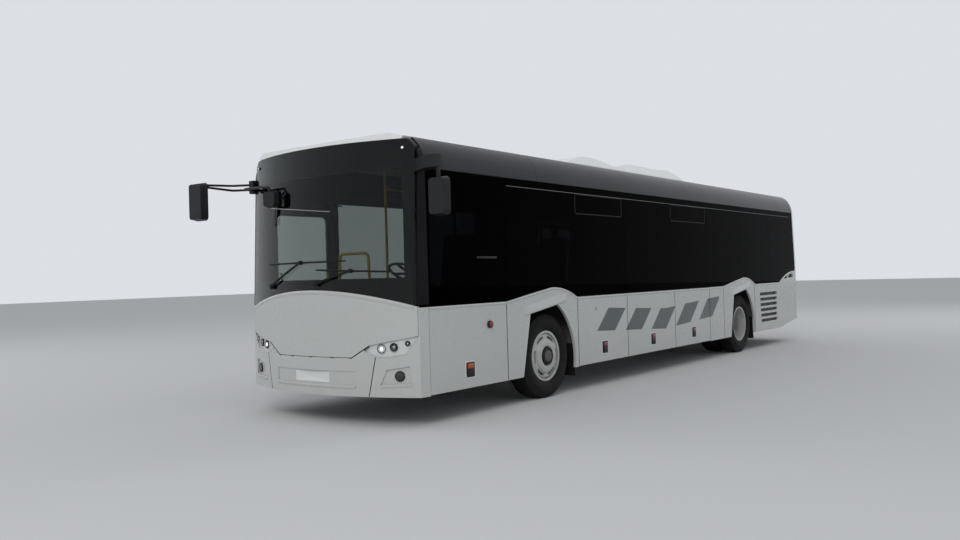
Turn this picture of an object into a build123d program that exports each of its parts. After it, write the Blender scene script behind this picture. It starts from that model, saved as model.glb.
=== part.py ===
from build123d import *
from math import cos, radians, sin, sqrt
import os

os.makedirs("parts", exist_ok=True)

# An intercity bus, in mm. X points forward, Y to the bus's left and Z up from the road.
# Overall sizes. Places along the bus are distances behind the nose, turned into X by station().
body_length = 12000.0
body_width = 2550.0
half_width = body_width / 2
mirror_lead = 230.0
mirror_reach = 1735.0
nose_x = (body_length - mirror_lead) / 2
corner_depth = 285.0
corner_half = 1261.0
side_start = 418.0
tail_depth = 180.0
side_end = body_length - tail_depth
tail_lean = 130.0
tail_bend = 1560.0
tail_step = 2.0
screen_lean = 75.0

# Heights above the road.
skirt_low = 310.0
belt_height = 1180.0
hump_height = 1310.0
band_top = 2560.0
roof_edge_height = 2885.0
roof_edge_half = 1105.0
crown_height = 3030.0
screen_top = 2850.0
screen_low = belt_height + 12
floor_top = 860.0
floor_thickness = 60.0
platform_top = 1140.0
platform_thickness = 30.0

# Thicknesses and clearances.
skirt_thickness = 30.0
wall_thickness = 50.0
glass_thickness = 8.0
roof_thickness = 45.0
fascia_thickness = 25.0
seat_gap = 0.3
panel_gap = 6.0
curve_gap = 0.8
leaf_gap = 16.0
meet_gap = 8.0

# How the windscreen and the upper tail lean.
lean = Vector(-screen_lean, 0, screen_top - belt_height).normalized()
tail_run = Vector(tail_lean, 0, screen_top - tail_bend).normalized()

# Wheels.
front_axle_at = 2600.0
wheelbase = 6250.0
rear_axle_at = front_axle_at + wheelbase
tyre_radius = 500.0
tyre_width = 295.0
bead_radius = 286.0
flange_radius = 298.5
flange_half = 117.0
outer_tyre_y = 1090.0
twin_spacing = 335.0
kingpin_y = 930.0
kingpin_radius = 25.0
boss_radius = 45.0
boss_height = 90.0
spindle_radius = 40.0
pin_clearance = 0.05
steer_range = 45.0

# Panels below the belt: distances behind the nose of the joints between them.
front_panel_end = 1735.0
flap_starts = (3255.0, 4562.0, 6076.0)
flap_zone_end = 7397.0
arch_panel_start = 7996.0
arch_panel_end = 9460.0
kink_at = 10810.0
kink_end_height = 430.0
quarter_height = 1393.0
quarter_bend = (11150.0, 1312.0)

# Doors in the right side: leaf start, leaf end, and the end that carries the arm's column.
door_top = 2330.0
door_low = 340.0
door_thickness = 40.0
front_door = (550.0, 1500.0)
middle_door = (6076.0, 7397.0)
arm_length_x = 330.0
arm_offset_y = 65.0
column_inset = 70.0
column_y = 1140.0
column_radius = 17.0
arm_half = 11.0

# Boxes and cylinders that hang from their place or stand on it.
hung = (Align.CENTER, Align.CENTER, Align.MAX)
stood = (Align.CENTER, Align.CENTER, Align.MIN)
roof_edge = (roof_edge_half, roof_edge_height)


def station(distance):
    return nose_x - distance


def across(place):
    # The same place on the bus's other side, in a view from the front.
    return (-place[0], place[1])


def side_face(points):
    # A closed outline on the left side's outer plane, from pairs of distance and height.
    with BuildSketch(Plane.XZ.offset(-half_width)) as outline:
        with BuildLine():
            Polyline([(station(d), z) for d, z in points], close=True)
        make_face()
    return outline.sketch


def side_box(start, end, low, high):
    return side_face(((start, low), (end, low), (end, high), (start, high)))


nose_radius = (corner_half**2 + corner_depth**2) / (2 * corner_depth)


def nose_drop(y):
    # How far the curved nose lies behind its foremost point at a place across the bus.
    return nose_radius - sqrt(nose_radius**2 - y**2)


def nose_plane(y, height):
    # A plane that touches the curved nose, facing outwards.
    return Plane(origin=(nose_x - nose_drop(y), y, height), z_dir=(sqrt(nose_radius**2 - y**2), y, 0))


def tail_drop(y):
    # How far the curved tail lies ahead of its rearmost point at a place across the bus.
    radius = (half_width**2 + tail_depth**2) / (2 * tail_depth)
    return radius - sqrt(radius**2 - y**2)


def curved_slab(drop, near, far, half, plane):
    # A curved slab across the bus, seen from above: two arcs, each a distance from the plane's Y axis.
    front = [(near - drop(y), y) for y in (-half, 0, half)]
    back = [(far - drop(y), y) for y in (half, 0, -half)]
    with BuildSketch(plane) as plan:
        with BuildLine():
            ThreePointArc(*front)
            Line(front[2], back[0])
            ThreePointArc(*back)
            Line(back[2], front[0])
        make_face()
    return plan.sketch


def front_plan(inset, depth, half, height):
    return curved_slab(nose_drop, -inset, -inset - depth, half, Plane((nose_x, 0, height)))


def rear_plan(inset, depth, half, height):
    plane = Plane((station(body_length), 0, height))
    return curved_slab(lambda y: -tail_drop(y), inset, inset + depth, half, plane)


def leaning(direction, x, height):
    # A plane square to a leaning wall, so that the wall's curve stays a true cylinder.
    return Plane(origin=(x, 0, height), x_dir=(direction.Z, 0, -direction.X), z_dir=direction)


def between(piece, low, high):
    # The part of a piece that lies between two heights.
    layer = Box(3 * body_length, 2 * body_width, high - low, align=stood, mode=Mode.PRIVATE)
    return piece & layer.moved(Location((0, 0, low)))


def leaning_slab(plan, direction, base, low, high):
    # A curved wall that leans: its plan drawn at the base's height, run both ways and trimmed level.
    spare = 100
    foot = plan.moved(Location(direction * (low - spare - base) / direction.Z))
    wall = extrude(foot, amount=(high - low + 2 * spare) / direction.Z, dir=direction, mode=Mode.PRIVATE)
    return between(wall, low, high)


def screen_slab(inset, depth, half, low, high):
    plan = curved_slab(nose_drop, -inset, -inset - depth, half, leaning(lean, nose_x, screen_low))
    return leaning_slab(plan, lean, screen_low, low, high)


def tail_slab(inset, depth, half, low, high):
    plane = leaning(tail_run, station(body_length) + tail_step, tail_bend)
    plan = curved_slab(lambda y: -tail_drop(y), inset, inset + depth, half, plane)
    return leaning_slab(plan, tail_run, tail_bend, low, high)


def front_face(points):
    # A closed outline in the front view, from pairs of Y and height.
    with BuildSketch(Plane.YZ) as outline:
        with BuildLine():
            Polyline(list(points), close=True)
        make_face()
    return outline.sketch


def mirrored(points):
    # Half an outline from the top centre round to the bottom centre, with its other half added.
    return [*points, *[(-y, z) for y, z in reversed(points) if y > 0]]


def on_side(face, side):
    # An outline drawn on the left side's plane, as it is there or mirrored to the right.
    return face if side == "left" else mirror(face, about=Plane.XZ, mode=Mode.PRIVATE)


def inward_from(side):
    return (0, -1, 0) if side == "left" else (0, 1, 0)


def finish(piece, name):
    piece.label = name
    export_step(piece, f"parts/{name}.step")


# The arch over a wheel: distance ahead of the axle, then height.
arch_front_low = (600.0, 200.0)
arch_front_top = (405.0, 1020.0)
arch_rear_top = (-185.0, 1105.0)
arch_rear_mid = (-440.0, 860.0)
arch_rear_low = (-535.0, 200.0)
hump_points = ((860.0, belt_height), (436.0, 1243.0), (-60.0, hump_height))
hump_mid = (-330.0, 1288.0)
hump_end = (-640.0, belt_height)


def arch_face(axle_at):
    ahead = station(axle_at)

    def at(point):
        return (ahead + point[0], point[1])

    with BuildSketch(Plane.XZ.offset(-half_width)) as outline:
        with BuildLine():
            Polyline(at(arch_rear_low), at(arch_front_low), at(arch_front_top), at(arch_rear_top))
            ThreePointArc(at(arch_rear_top), at(arch_rear_mid), at(arch_rear_low))
        make_face()
    return outline.sketch


def hump_face(axle_at):
    ahead = station(axle_at)

    def at(point):
        return (ahead + point[0], point[1])

    base = belt_height - 100
    with BuildSketch(Plane.XZ.offset(-half_width)) as outline:
        with BuildLine():
            Polyline(at((hump_end[0], base)), at((hump_points[0][0], base)), *[at(p) for p in hump_points])
            ThreePointArc(at(hump_points[2]), at(hump_mid), at(hump_end))
            Line(at(hump_end), at((hump_end[0], base)))
        make_face()
    return outline.sketch


side_tail = side_end - wall_thickness - panel_gap


def tail_limit():
    # All that lies ahead of the tail fascia, which leans forward above its bend.
    shift = tail_lean * (crown_height - tail_bend) / (screen_top - tail_bend)
    return side_face(
        (
            (0, 0),
            (side_tail, 0),
            (side_tail, tail_bend),
            (side_tail - shift, crown_height),
            (0, crown_height),
        )
    )


def belt_face():
    # Everything below the belt, with its two humps and the rising quarter at the tail.
    tail = side_tail
    with BuildSketch(Plane.XZ.offset(-half_width)) as outline:
        with BuildLine():
            Polyline(
                (station(side_start), skirt_low),
                (station(side_start), belt_height),
                (station(kink_at), belt_height),
            )
            ThreePointArc(
                (station(kink_at), belt_height),
                (station(quarter_bend[0]), quarter_bend[1]),
                (station(tail), quarter_height),
            )
            Polyline(
                (station(tail), quarter_height),
                (station(tail), kink_end_height),
                (station(kink_at), skirt_low),
                (station(side_start), skirt_low),
            )
        make_face()
        add(hump_face(front_axle_at))
        add(hump_face(rear_axle_at))
        add(arch_face(front_axle_at), mode=Mode.SUBTRACT)
        add(arch_face(rear_axle_at), mode=Mode.SUBTRACT)
    return outline.sketch


# The skirts: fixed panels under the belt, parted by joints, with room for flaps and doors.
louvre_count = 6
louvre_pitch = 98.0
louvre_low = 470.0
louvre_height = 56.0
louvre_start = 9720.0
louvre_end = 10650.0
louvre_slant = 60.0
quarter_slots = (
    ((11085.0, 1243.0), (11175.0, 1284.0), (11325.0, 1316.0), (11300.0, 1255.0)),
    ((11375.0, 1322.0), (11640.0, 1348.0), (11640.0, 1266.0), (11345.0, 1258.0)),
)
flap_low = 318.0
flap_top = belt_height - 4
right_flap_end = flap_starts[1]

left_joints = (front_panel_end, arch_panel_start, arch_panel_end)
right_joints = (front_panel_end, flap_starts[2] - 40, arch_panel_start, arch_panel_end)
left_cuts = ((flap_starts[0], flap_zone_end, skirt_low - 50, belt_height + 1),)
right_cuts = (
    (front_door[0], front_door[1] + leaf_gap - meet_gap, skirt_low - 50, belt_height + 1),
    (flap_starts[0], right_flap_end, skirt_low - 50, belt_height + 1),
    (middle_door[0], middle_door[1], skirt_low - 50, belt_height + 1),
)
skirt_table = (("left", left_joints, left_cuts), ("right", right_joints, right_cuts))

def skirt_face(joints, cuts):
    with BuildSketch(Plane.XZ.offset(-half_width)) as panels:
        add(belt_face())
        for joint in joints:
            add(side_box(joint - panel_gap / 2, joint + panel_gap / 2, 0, crown_height), mode=Mode.SUBTRACT)
        for start, end, low, high in cuts:
            add(side_box(start - panel_gap / 2, end + panel_gap / 2, low, high), mode=Mode.SUBTRACT)
        for row in range(louvre_count):
            low = louvre_low + row * louvre_pitch
            slot = (
                (louvre_start + (louvre_count - row) * louvre_slant / louvre_count, low),
                (louvre_end, low),
                (louvre_end, low + louvre_height),
                (louvre_start + (louvre_count - row - 1) * louvre_slant / louvre_count, low + louvre_height),
            )
            add(side_face(slot), mode=Mode.SUBTRACT)
        for slot in quarter_slots:
            add(side_face(slot), mode=Mode.SUBTRACT)
    return panels.sketch


with BuildPart() as skirts:
    for side, joints, cuts in skirt_table:
        extrude(on_side(skirt_face(joints, cuts), side), amount=skirt_thickness, dir=inward_from(side))
finish(skirts.part, "skirts")

# The luggage flaps, each with a shallow recess for its handle and marker lamp.
handle_width = 90.0
handle_height = 150.0
handle_z = 500.0
handle_depth = 10.0
flap_ends = (flap_starts[1], flap_starts[2], flap_zone_end)
flap_table = [(f"left_flap_{n + 1}", 1, flap_starts[n], flap_ends[n]) for n in range(3)]
flap_table.append(("right_flap", -1, flap_starts[0], right_flap_end))

for name, sign, start, end in flap_table:
    middle = (start + end) / 2
    with BuildPart() as flap:
        with BuildSketch(Plane.XZ.offset(-half_width)):
            add(side_box(start + panel_gap / 2, end - panel_gap / 2, flap_low, flap_top))
        extrude(amount=skirt_thickness)
        with BuildSketch(Plane.XZ.offset(-half_width)):
            with Locations((station(middle), handle_z)):
                Rectangle(handle_width, handle_height)
        extrude(amount=handle_depth, mode=Mode.SUBTRACT)
        if sign < 0:
            mirror(about=Plane.XZ, mode=Mode.REPLACE)
    finish(flap.part, name)

# The window bands: a pillared frame inside, and flush panes bonded to it.
left_panes = (side_start + 2, 1735.0, 3230.0, 4520.0, 5960.0, 7320.0, 8800.0, 10250.0, side_tail)
right_panes_front = (1560.0, 3230.0, 4520.0, middle_door[0] - 16)
right_panes_rear = (middle_door[1] + 16, 8800.0, 10250.0, side_tail)
pane_low = belt_height + 6
pane_top = band_top - 5
pillar_half = 45.0
aperture_low = hump_height + 30
aperture_top = 2430.0
quarter_room = 430.0
pane_gap = 6.0


with BuildSketch(Plane.XZ.offset(-half_width)) as below_sketch:
    add(belt_face())
    add(arch_face(front_axle_at))
    add(arch_face(rear_axle_at))
    offset(amount=panel_gap)
below_band = below_sketch.sketch


def band_face(start, end, top):
    # The window band between two places, above the belt, its humps and the tail's quarter.
    with BuildSketch(Plane.XZ.offset(-half_width)) as outline:
        add(side_box(start, end, pane_low, top))
        add(tail_limit(), mode=Mode.INTERSECT)
        add(below_band, mode=Mode.SUBTRACT)
    return outline.sketch


waist_low = 1130.0
waist_high = pane_low + 14
waist_end = body_length - wall_thickness - seat_gap - tail_drop(half_width - skirt_thickness)
pane_table = (("left", (left_panes,)), ("right", (right_panes_front, right_panes_rear)))
frame_outer = half_width - glass_thickness - seat_gap
with BuildPart() as window_frames:
    for side, runs in pane_table:
        for run in runs:
            band = band_face(run[0], run[-1], band_top - seat_gap)
            extrude(on_side(band, side), amount=wall_thickness, dir=inward_from(side))
    # The waist rail behind the skirts' upper edge, which the panels and the flaps' hinges hang from.
    for side, runs in pane_table:
        for run in runs:
            rail_end = waist_end if run[-1] == side_tail else run[-1]
            rail = side_box(run[0], rail_end, waist_low, waist_high)
            behind = inward_from(side)[1] * (skirt_thickness + seat_gap)
            waist = on_side(rail, side).moved(Location((0, behind, 0)))
            extrude(waist, amount=wall_thickness - skirt_thickness - seat_gap, dir=inward_from(side))
    for side, runs in pane_table:
        for run in runs:
            for start, end in zip(run[:-1], run[1:]):
                tail_room = tail_lean + quarter_room if end == side_tail else 0
                hole_end = end - pillar_half - tail_room
                hole = side_box(start + pillar_half, hole_end, aperture_low, aperture_top)
                extrude(on_side(hole, side), amount=wall_thickness, dir=inward_from(side), mode=Mode.SUBTRACT)
    with BuildSketch(Plane.XY) as clear_of_panes:
        Rectangle(body_length + 1000, 2 * frame_outer)
    extrude(amount=crown_height, mode=Mode.INTERSECT)
finish(window_frames.part, "window_frames")

with BuildPart() as side_windows:
    for side, runs in pane_table:
        for run in runs:
            for start, end in zip(run[:-1], run[1:]):
                pane = band_face(start + pane_gap / 2, end - pane_gap / 2, pane_top)
                extrude(on_side(pane, side), amount=glass_thickness, dir=inward_from(side))
finish(side_windows.part, "side_windows")

# The roof's section, run along the bus: coves over the windows and the crown between them.
cove_rise = roof_edge_height - band_top
cove_run = half_width - roof_edge_half
cove_radius = (cove_run**2 + cove_rise**2) / (2 * cove_run)
cove_turn = radians(30)
cove_bulge = (half_width - cove_radius * (1 - cos(cove_turn)), band_top + cove_radius * sin(cove_turn))
cove_ends = (side_start + 2, side_tail)
cove_joints = (2405.0, 6605.0, 10805.0)
cove_joint_gap = 4.0
roof_ends = (1400.0, 11400.0)
cap_low = screen_top + 6
cap_rise = (620.0, 2982.0)
cap_start = screen_lean - 20
cap_hollow = (420.0, 2890.0)
cap_hollow_half = roof_edge_half - 70


def arc_band(start, middle, end, inner_start, inner_middle, inner_end):
    with BuildSketch(Plane.YZ.offset(station(cove_ends[1]))) as outline:
        with BuildLine():
            ThreePointArc(start, middle, end)
            Line(end, inner_end)
            ThreePointArc(inner_end, inner_middle, inner_start)
            Line(inner_start, start)
        make_face()
    return outline.sketch


cove_inner = (cove_bulge[0] - roof_thickness, cove_bulge[1] - 30)
roof_inner_edge = (roof_edge_half - 28, roof_edge_height - roof_thickness)
with BuildPart() as coves:
    section = arc_band(
        (half_width, band_top),
        cove_bulge,
        (roof_edge_half, roof_edge_height),
        (half_width - wall_thickness, band_top),
        cove_inner,
        roof_inner_edge,
    )
    extrude(section, amount=cove_ends[1] - cove_ends[0])
    extrude(tail_limit(), amount=body_width, mode=Mode.INTERSECT)
    for joint in cove_joints:
        cut = side_box(joint - cove_joint_gap / 2, joint + cove_joint_gap / 2, 0, crown_height)
        extrude(cut, amount=body_width, mode=Mode.SUBTRACT)
    mirror(about=Plane.XZ)
finish(coves.part, "coves")

with BuildPart() as roof:
    section = arc_band(
        (-roof_edge_half, roof_edge_height),
        (0, crown_height),
        (roof_edge_half, roof_edge_height),
        (-roof_inner_edge[0], roof_inner_edge[1]),
        (0, crown_height - roof_thickness),
        roof_inner_edge,
    )
    extrude(section.moved(Location((cove_ends[1] - roof_ends[1], 0, 0))), amount=roof_ends[1] - roof_ends[0])
finish(roof.part, "roof")


def cap_section(at):
    # The crown above the screens, on a plane across the bus.
    drop = roof_edge_height - cap_low
    slope = (roof_edge_half - roof_inner_edge[0]) / (roof_edge_height - roof_inner_edge[1])
    foot = (roof_edge_half - drop * slope, cap_low)
    with BuildSketch(Plane.YZ.offset(station(at))) as outline:
        with BuildLine():
            ThreePointArc(roof_edge, (0, crown_height), across(roof_edge))
            Polyline(across(roof_edge), across(foot), foot, roof_edge)
        make_face()
    return outline.sketch


def body_section(low, high):
    # The body's outline across the bus, from one height up to another under the coves' curve.
    with BuildSketch(Plane.YZ) as outline:
        with BuildLine():
            Polyline((-half_width, band_top), (-half_width, low), (half_width, low), (half_width, band_top))
            ThreePointArc((half_width, band_top), cove_bulge, roof_edge)
            Line(roof_edge, across(roof_edge))
            ThreePointArc(across(roof_edge), across(cove_bulge), (-half_width, band_top))
        make_face()
        with Locations((0, high)):
            Rectangle(body_width, crown_height, align=(Align.CENTER, Align.MIN), mode=Mode.SUBTRACT)
    return outline.sketch


# The front cap over the windscreen and the tail cap over the rear window.
with BuildPart() as front_cap:
    extrude(cap_section(roof_ends[0] - seat_gap), amount=roof_ends[0])
    extrude(front_plan(screen_lean, roof_ends[0], corner_half - 6, cap_low), amount=400, mode=Mode.INTERSECT)
    with BuildSketch(Plane.XZ.offset(-half_width)) as profile:
        with BuildLine():
            Polyline(
                (station(roof_ends[0] + 10), cap_low),
                (station(cap_start), cap_low),
                (station(cap_start), cap_low + 30),
            )
            ThreePointArc(
                (station(cap_start), cap_low + 30),
                (station(cap_rise[0]), cap_rise[1]),
                (station(roof_ends[0] - 100), crown_height + 12),
            )
            Polyline(
                (station(roof_ends[0] - 100), crown_height + 12),
                (station(roof_ends[0] + 10), crown_height + 30),
                (station(roof_ends[0] + 10), cap_low),
            )
        make_face()
    extrude(amount=body_width, mode=Mode.INTERSECT)
    # The cap is open under its crown behind the screen's head.
    hollow = arc_band(
        (cap_hollow_half, cap_low - 10),
        (0, crown_height - roof_thickness),
        (-cap_hollow_half, cap_low - 10),
        (cap_hollow_half, cap_low - roof_thickness),
        (0, cap_low - roof_thickness - 1),
        (-cap_hollow_half, cap_low - roof_thickness),
    )
    hollow = hollow.moved(Location((cove_ends[1] - roof_ends[0], 0, 0)))
    cavity = extrude(hollow, amount=roof_ends[0] - cap_hollow[0], mode=Mode.PRIVATE)
    with BuildSketch(Plane.XZ.offset(-half_width)) as cavity_profile:
        with BuildLine():
            Polyline(
                (station(cap_hollow[0]), 0),
                (station(cap_hollow[0]), cap_hollow[1]),
                (station(roof_ends[0]), crown_height - roof_thickness + 1),
                (station(roof_ends[0]), 0),
                close=True,
            )
        make_face()
    under_crown = extrude(cavity_profile.sketch, amount=body_width, mode=Mode.PRIVATE)
    add(cavity & under_crown, mode=Mode.SUBTRACT)

with BuildPart() as tail_cap:
    extrude(cap_section(body_length), amount=body_length - roof_ends[1] - seat_gap)
    extrude(rear_plan(tail_lean, 1000, half_width, cap_low), amount=400, mode=Mode.INTERSECT)
    with BuildSketch(Plane.XZ.offset(-half_width)) as profile:
        tail_x = station(body_length) + tail_lean
        with BuildLine():
            Polyline((station(roof_ends[1] - 10), cap_low), (tail_x, cap_low))
            tail_crest = (tail_x + 330, crown_height + 12)
            ThreePointArc((tail_x, cap_low), (tail_x + 110, crown_height - 60), tail_crest)
            Polyline(
                tail_crest,
                (station(roof_ends[1] - 10), crown_height + 30),
                (station(roof_ends[1] - 10), cap_low),
            )
        make_face()
    extrude(amount=body_width, mode=Mode.INTERSECT)
with BuildPart() as roof_caps:
    add(front_cap.part)
    add(tail_cap.part)
finish(roof_caps.part, "roof_caps")

# The air-conditioning unit and two hatches on the roof.
unit_ends = (4035.0, 7960.0)
unit_half = 640.0
unit_shoulder = 500.0
unit_top = 3140.0
unit_base = crown_height - 75
unit_dip = (5560.0, 3045.0)
unit_rear = (6150.0, 7315.0)
hatch_places = (2200.0, 9400.0)
hatch_size = 640.0
with BuildPart() as roof_unit:
    with BuildSketch(Plane.XZ.offset(-unit_half)) as profile:
        with BuildLine():
            ThreePointArc(
                (station(unit_ends[0]), unit_base),
                (station((unit_ends[0] + unit_dip[0]) / 2), unit_top),
                (station(unit_dip[0]), unit_dip[1]),
            )
            Polyline(
                (station(unit_dip[0]), unit_dip[1]),
                (station(unit_rear[0]), unit_top + 10),
                (station(unit_rear[1]), unit_top),
            )
            ThreePointArc(
                (station(unit_rear[1]), unit_top),
                (station(unit_ends[1] - 180), unit_top - 45),
                (station(unit_ends[1]), unit_base),
            )
            Line((station(unit_ends[1]), unit_base), (station(unit_ends[0]), unit_base))
        make_face()
    extrude(amount=2 * unit_half)
    with BuildSketch(Plane.YZ.offset(station(unit_ends[1] + 10))):
        with BuildLine():
            Polyline(
                (-unit_half, unit_base),
                (-unit_half, unit_base + 60),
                (-unit_shoulder, unit_top + 40),
                (unit_shoulder, unit_top + 40),
                (unit_half, unit_base + 60),
                (unit_half, unit_base),
                close=True,
            )
        make_face()
    extrude(amount=unit_ends[1] - unit_ends[0] + 20, mode=Mode.INTERSECT)
    roof_radius = (roof_edge_half**2 + (crown_height - roof_edge_height) ** 2) / (
        2 * (crown_height - roof_edge_height)
    )
    with Locations((0, 0, crown_height - roof_radius)):
        Cylinder(
            roof_radius + seat_gap,
            body_length,
            rotation=(0, 90, 0),
            mode=Mode.SUBTRACT,
        )
finish(roof_unit.part, "roof_unit")

with BuildPart() as hatches:
    with Locations([(station(d), 0, crown_height + seat_gap) for d in hatch_places]):
        Box(hatch_size, hatch_size, 45, align=stood)
    fillet(hatches.edges().filter_by(Axis.Z), radius=60)
    chamfer(hatches.faces().filter_by(Axis.Z).group_by(Axis.Z)[-1].edges(), length=18)
finish(hatches.part, "roof_hatches")

# The front: windscreen, bonnet flap, headlamps and bumper, all on one curved plan.
bonnet_crown = 1372.0
bonnet_corner = (1214.0, 1200.0)
seam_top = (822.0, 700.0)
seam_low = (742.0, 300.0)
bonnet_low = 690.0
bonnet_tip = (545.0, 690.0)
lamp_notch = (752.0, 814.0)
lamp_shoulder = (874.0, 838.0)
bonnet_side = (1246.0, 905.0)
bumper_low = 300.0


def crown_arc(lift):
    return ThreePointArc(
        (-bonnet_corner[0], bonnet_corner[1] + lift),
        (0, bonnet_crown + lift),
        (bonnet_corner[0], bonnet_corner[1] + lift),
    )


screen_half = bonnet_corner[0] + 20
with BuildPart() as windscreen:
    add(screen_slab(0, glass_thickness, screen_half, screen_low, screen_top))
    with BuildSketch(Plane.YZ):
        with BuildLine():
            crown_arc(panel_gap)
            Polyline(
                (bonnet_corner[0], bonnet_corner[1] + panel_gap),
                (screen_half + 5, bonnet_corner[1] + panel_gap),
                (screen_half - 20, screen_top),
                (-screen_half + 20, screen_top),
                (-screen_half - 5, bonnet_corner[1] + panel_gap),
                (-bonnet_corner[0], bonnet_corner[1] + panel_gap),
            )
        make_face()
    extrude(amount=body_length, mode=Mode.INTERSECT)
    extrude(body_section(screen_low - 50, screen_top + 20), amount=body_length, mode=Mode.INTERSECT)
finish(windscreen.part, "windscreen")

frame_inset = glass_thickness + curve_gap
frame_depth = 60.0
frame_half = corner_half - 60
bulkhead_inset = fascia_thickness + curve_gap
bulkhead_low = 1080.0
bulkhead_top = 1400.0
aperture = ((0, 2560), (1090, 2560), (1120, 1480), (0, 1480))
bumper_beam = (340.0, 640.0)
beam_half = 975.0
upright_y = 400.0
upright_width = 80.0
with BuildPart() as front_frame:
    add(screen_slab(frame_inset, frame_depth, frame_half, screen_low, cap_low - seat_gap))
    extrude(front_face(mirrored(aperture)), amount=body_length, mode=Mode.SUBTRACT)
    with BuildSketch(Plane.YZ):
        with BuildLine():
            crown_arc(panel_gap)
            Polyline(
                (bonnet_corner[0], bonnet_corner[1] + panel_gap),
                (bonnet_corner[0], 0),
                (-bonnet_corner[0], 0),
                (-bonnet_corner[0], bonnet_corner[1] + panel_gap),
            )
        make_face()
    extrude(amount=body_length, mode=Mode.SUBTRACT)
    extrude(
        front_plan(bulkhead_inset, frame_depth - 20, frame_half - 20, bulkhead_low),
        amount=bulkhead_top - bulkhead_low,
    )
    # The bumper's beam, and two uprights that tie it to the bulkhead and the underframe.
    beam = front_plan(bulkhead_inset, frame_depth - 20, beam_half, bumper_beam[0])
    extrude(beam, amount=bumper_beam[1] - bumper_beam[0])
    upright_front = nose_x - nose_drop(upright_y + upright_width / 2) - bulkhead_inset
    for sign in (-1, 1):
        with Locations((upright_front, sign * upright_y, bumper_beam[0])):
            Box(
                frame_depth,
                upright_width,
                bulkhead_low + 40 - bumper_beam[0],
                align=(Align.MAX, Align.CENTER, Align.MIN),
            )
    inside = offset(body_section(bumper_beam[0] - 50, crown_height), amount=-panel_gap / 2, mode=Mode.PRIVATE)
    extrude(inside, amount=body_length, mode=Mode.INTERSECT)
finish(front_frame.part, "front_frame")

bonnet_edge = (bonnet_side, lamp_shoulder, lamp_notch, bonnet_tip)
with BuildSketch(Plane.YZ) as bonnet_sketch:
    with BuildLine():
        crown_arc(0)
        Polyline(
            bonnet_corner,
            (bonnet_side[0], bonnet_corner[1] - 12),
            *bonnet_edge,
            *[(-y, z) for y, z in reversed(bonnet_edge)],
            (-bonnet_side[0], bonnet_corner[1] - 12),
            (-bonnet_corner[0], bonnet_corner[1]),
        )
    make_face()
bonnet_outline = bonnet_sketch.sketch
bonnet_room = offset(bonnet_outline, amount=panel_gap, mode=Mode.PRIVATE)
with BuildPart() as bonnet:
    bonnet_plan = front_plan(0, fascia_thickness, bonnet_side[0], bonnet_low - 20)
    extrude(bonnet_plan, amount=bonnet_crown - bonnet_low + 40)
    extrude(bonnet_outline, amount=body_length, mode=Mode.INTERSECT)
finish(bonnet.part, "bonnet_flap")

# The headlamps: a housing each side between the bonnet's lower edge and the bumper's corner.
lamp_table = ((879.0, 780.0, 44.0), (1007.0, 795.0, 42.0), (1143.0, 832.0, 27.0))
lamp_tip = (690.0, 764.0)
lamp_low = ((816.0, 704.0), (936.0, 704.0), (1126.0, 732.0))
lamp_boss = 13.0
lamp_inset = fascia_thickness + curve_gap
lamp_depth = 60.0
lamp_lap = 12.0


def inward(points, gap):
    with BuildSketch(Plane.YZ) as outline:
        with BuildLine():
            Polyline(list(points), close=True)
        make_face()
        if gap:
            offset(amount=-gap)
    return outline.sketch


lamp_points = (lamp_tip, lamp_notch, lamp_shoulder, bonnet_side, *reversed(lamp_low))
with BuildPart() as headlamps:
    extrude(front_plan(lamp_inset, lamp_depth, corner_half - 40, 600), amount=400)
    extrude(inward(lamp_points, -lamp_lap), amount=body_length, mode=Mode.INTERSECT)
    for y, z, radius in lamp_table:
        with Locations(nose_plane(y, z).offset(lamp_boss - lamp_inset)):
            Cylinder(radius, 2 * lamp_boss, align=hung)
    mirror(about=Plane.XZ)

# The bumper: a middle and two corners that wrap to the side panels.
recess_half = 590.0
recess_low = 405.0
recess_high = 552.0
recess_depth = 7.0
plate_half = 262.0
plate_low = 425.0
plate_high = 540.0
plate_sink = 8.0
with BuildPart() as bumper_middle:
    extrude(front_plan(0, fascia_thickness, seam_top[0] + 20, bumper_low), amount=500)
    middle_outline = front_face(
        mirrored(
            (
                (0, lamp_notch[1]),
                (seam_top[0] - panel_gap, lamp_notch[1]),
                (seam_top[0] - panel_gap, seam_top[1]),
                (seam_low[0] - panel_gap, bumper_low),
                (0, bumper_low),
            )
        )
    )
    extrude(middle_outline, amount=body_length, mode=Mode.INTERSECT)
    extrude(bonnet_room, amount=body_length, mode=Mode.SUBTRACT)
    lamp_room = inward(lamp_points, -panel_gap / 2)
    for outline in (lamp_room, mirror(lamp_room, about=Plane.XZ, mode=Mode.PRIVATE)):
        extrude(outline, amount=body_length, mode=Mode.SUBTRACT)
    # A shallow field across the bumper, with the number plate's flat face let into it.
    field = front_plan(-recess_depth, 2 * recess_depth, recess_half, recess_low)
    extrude(field, amount=recess_high - recess_low, mode=Mode.SUBTRACT)
    with BuildSketch(Plane.YZ.offset(nose_x - nose_drop(plate_half) - plate_sink)):
        with Locations((0, (plate_low + plate_high) / 2)):
            Rectangle(2 * plate_half, plate_high - plate_low)
    extrude(amount=60, mode=Mode.SUBTRACT)
finish(bumper_middle.part, "bumper_middle")

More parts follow.
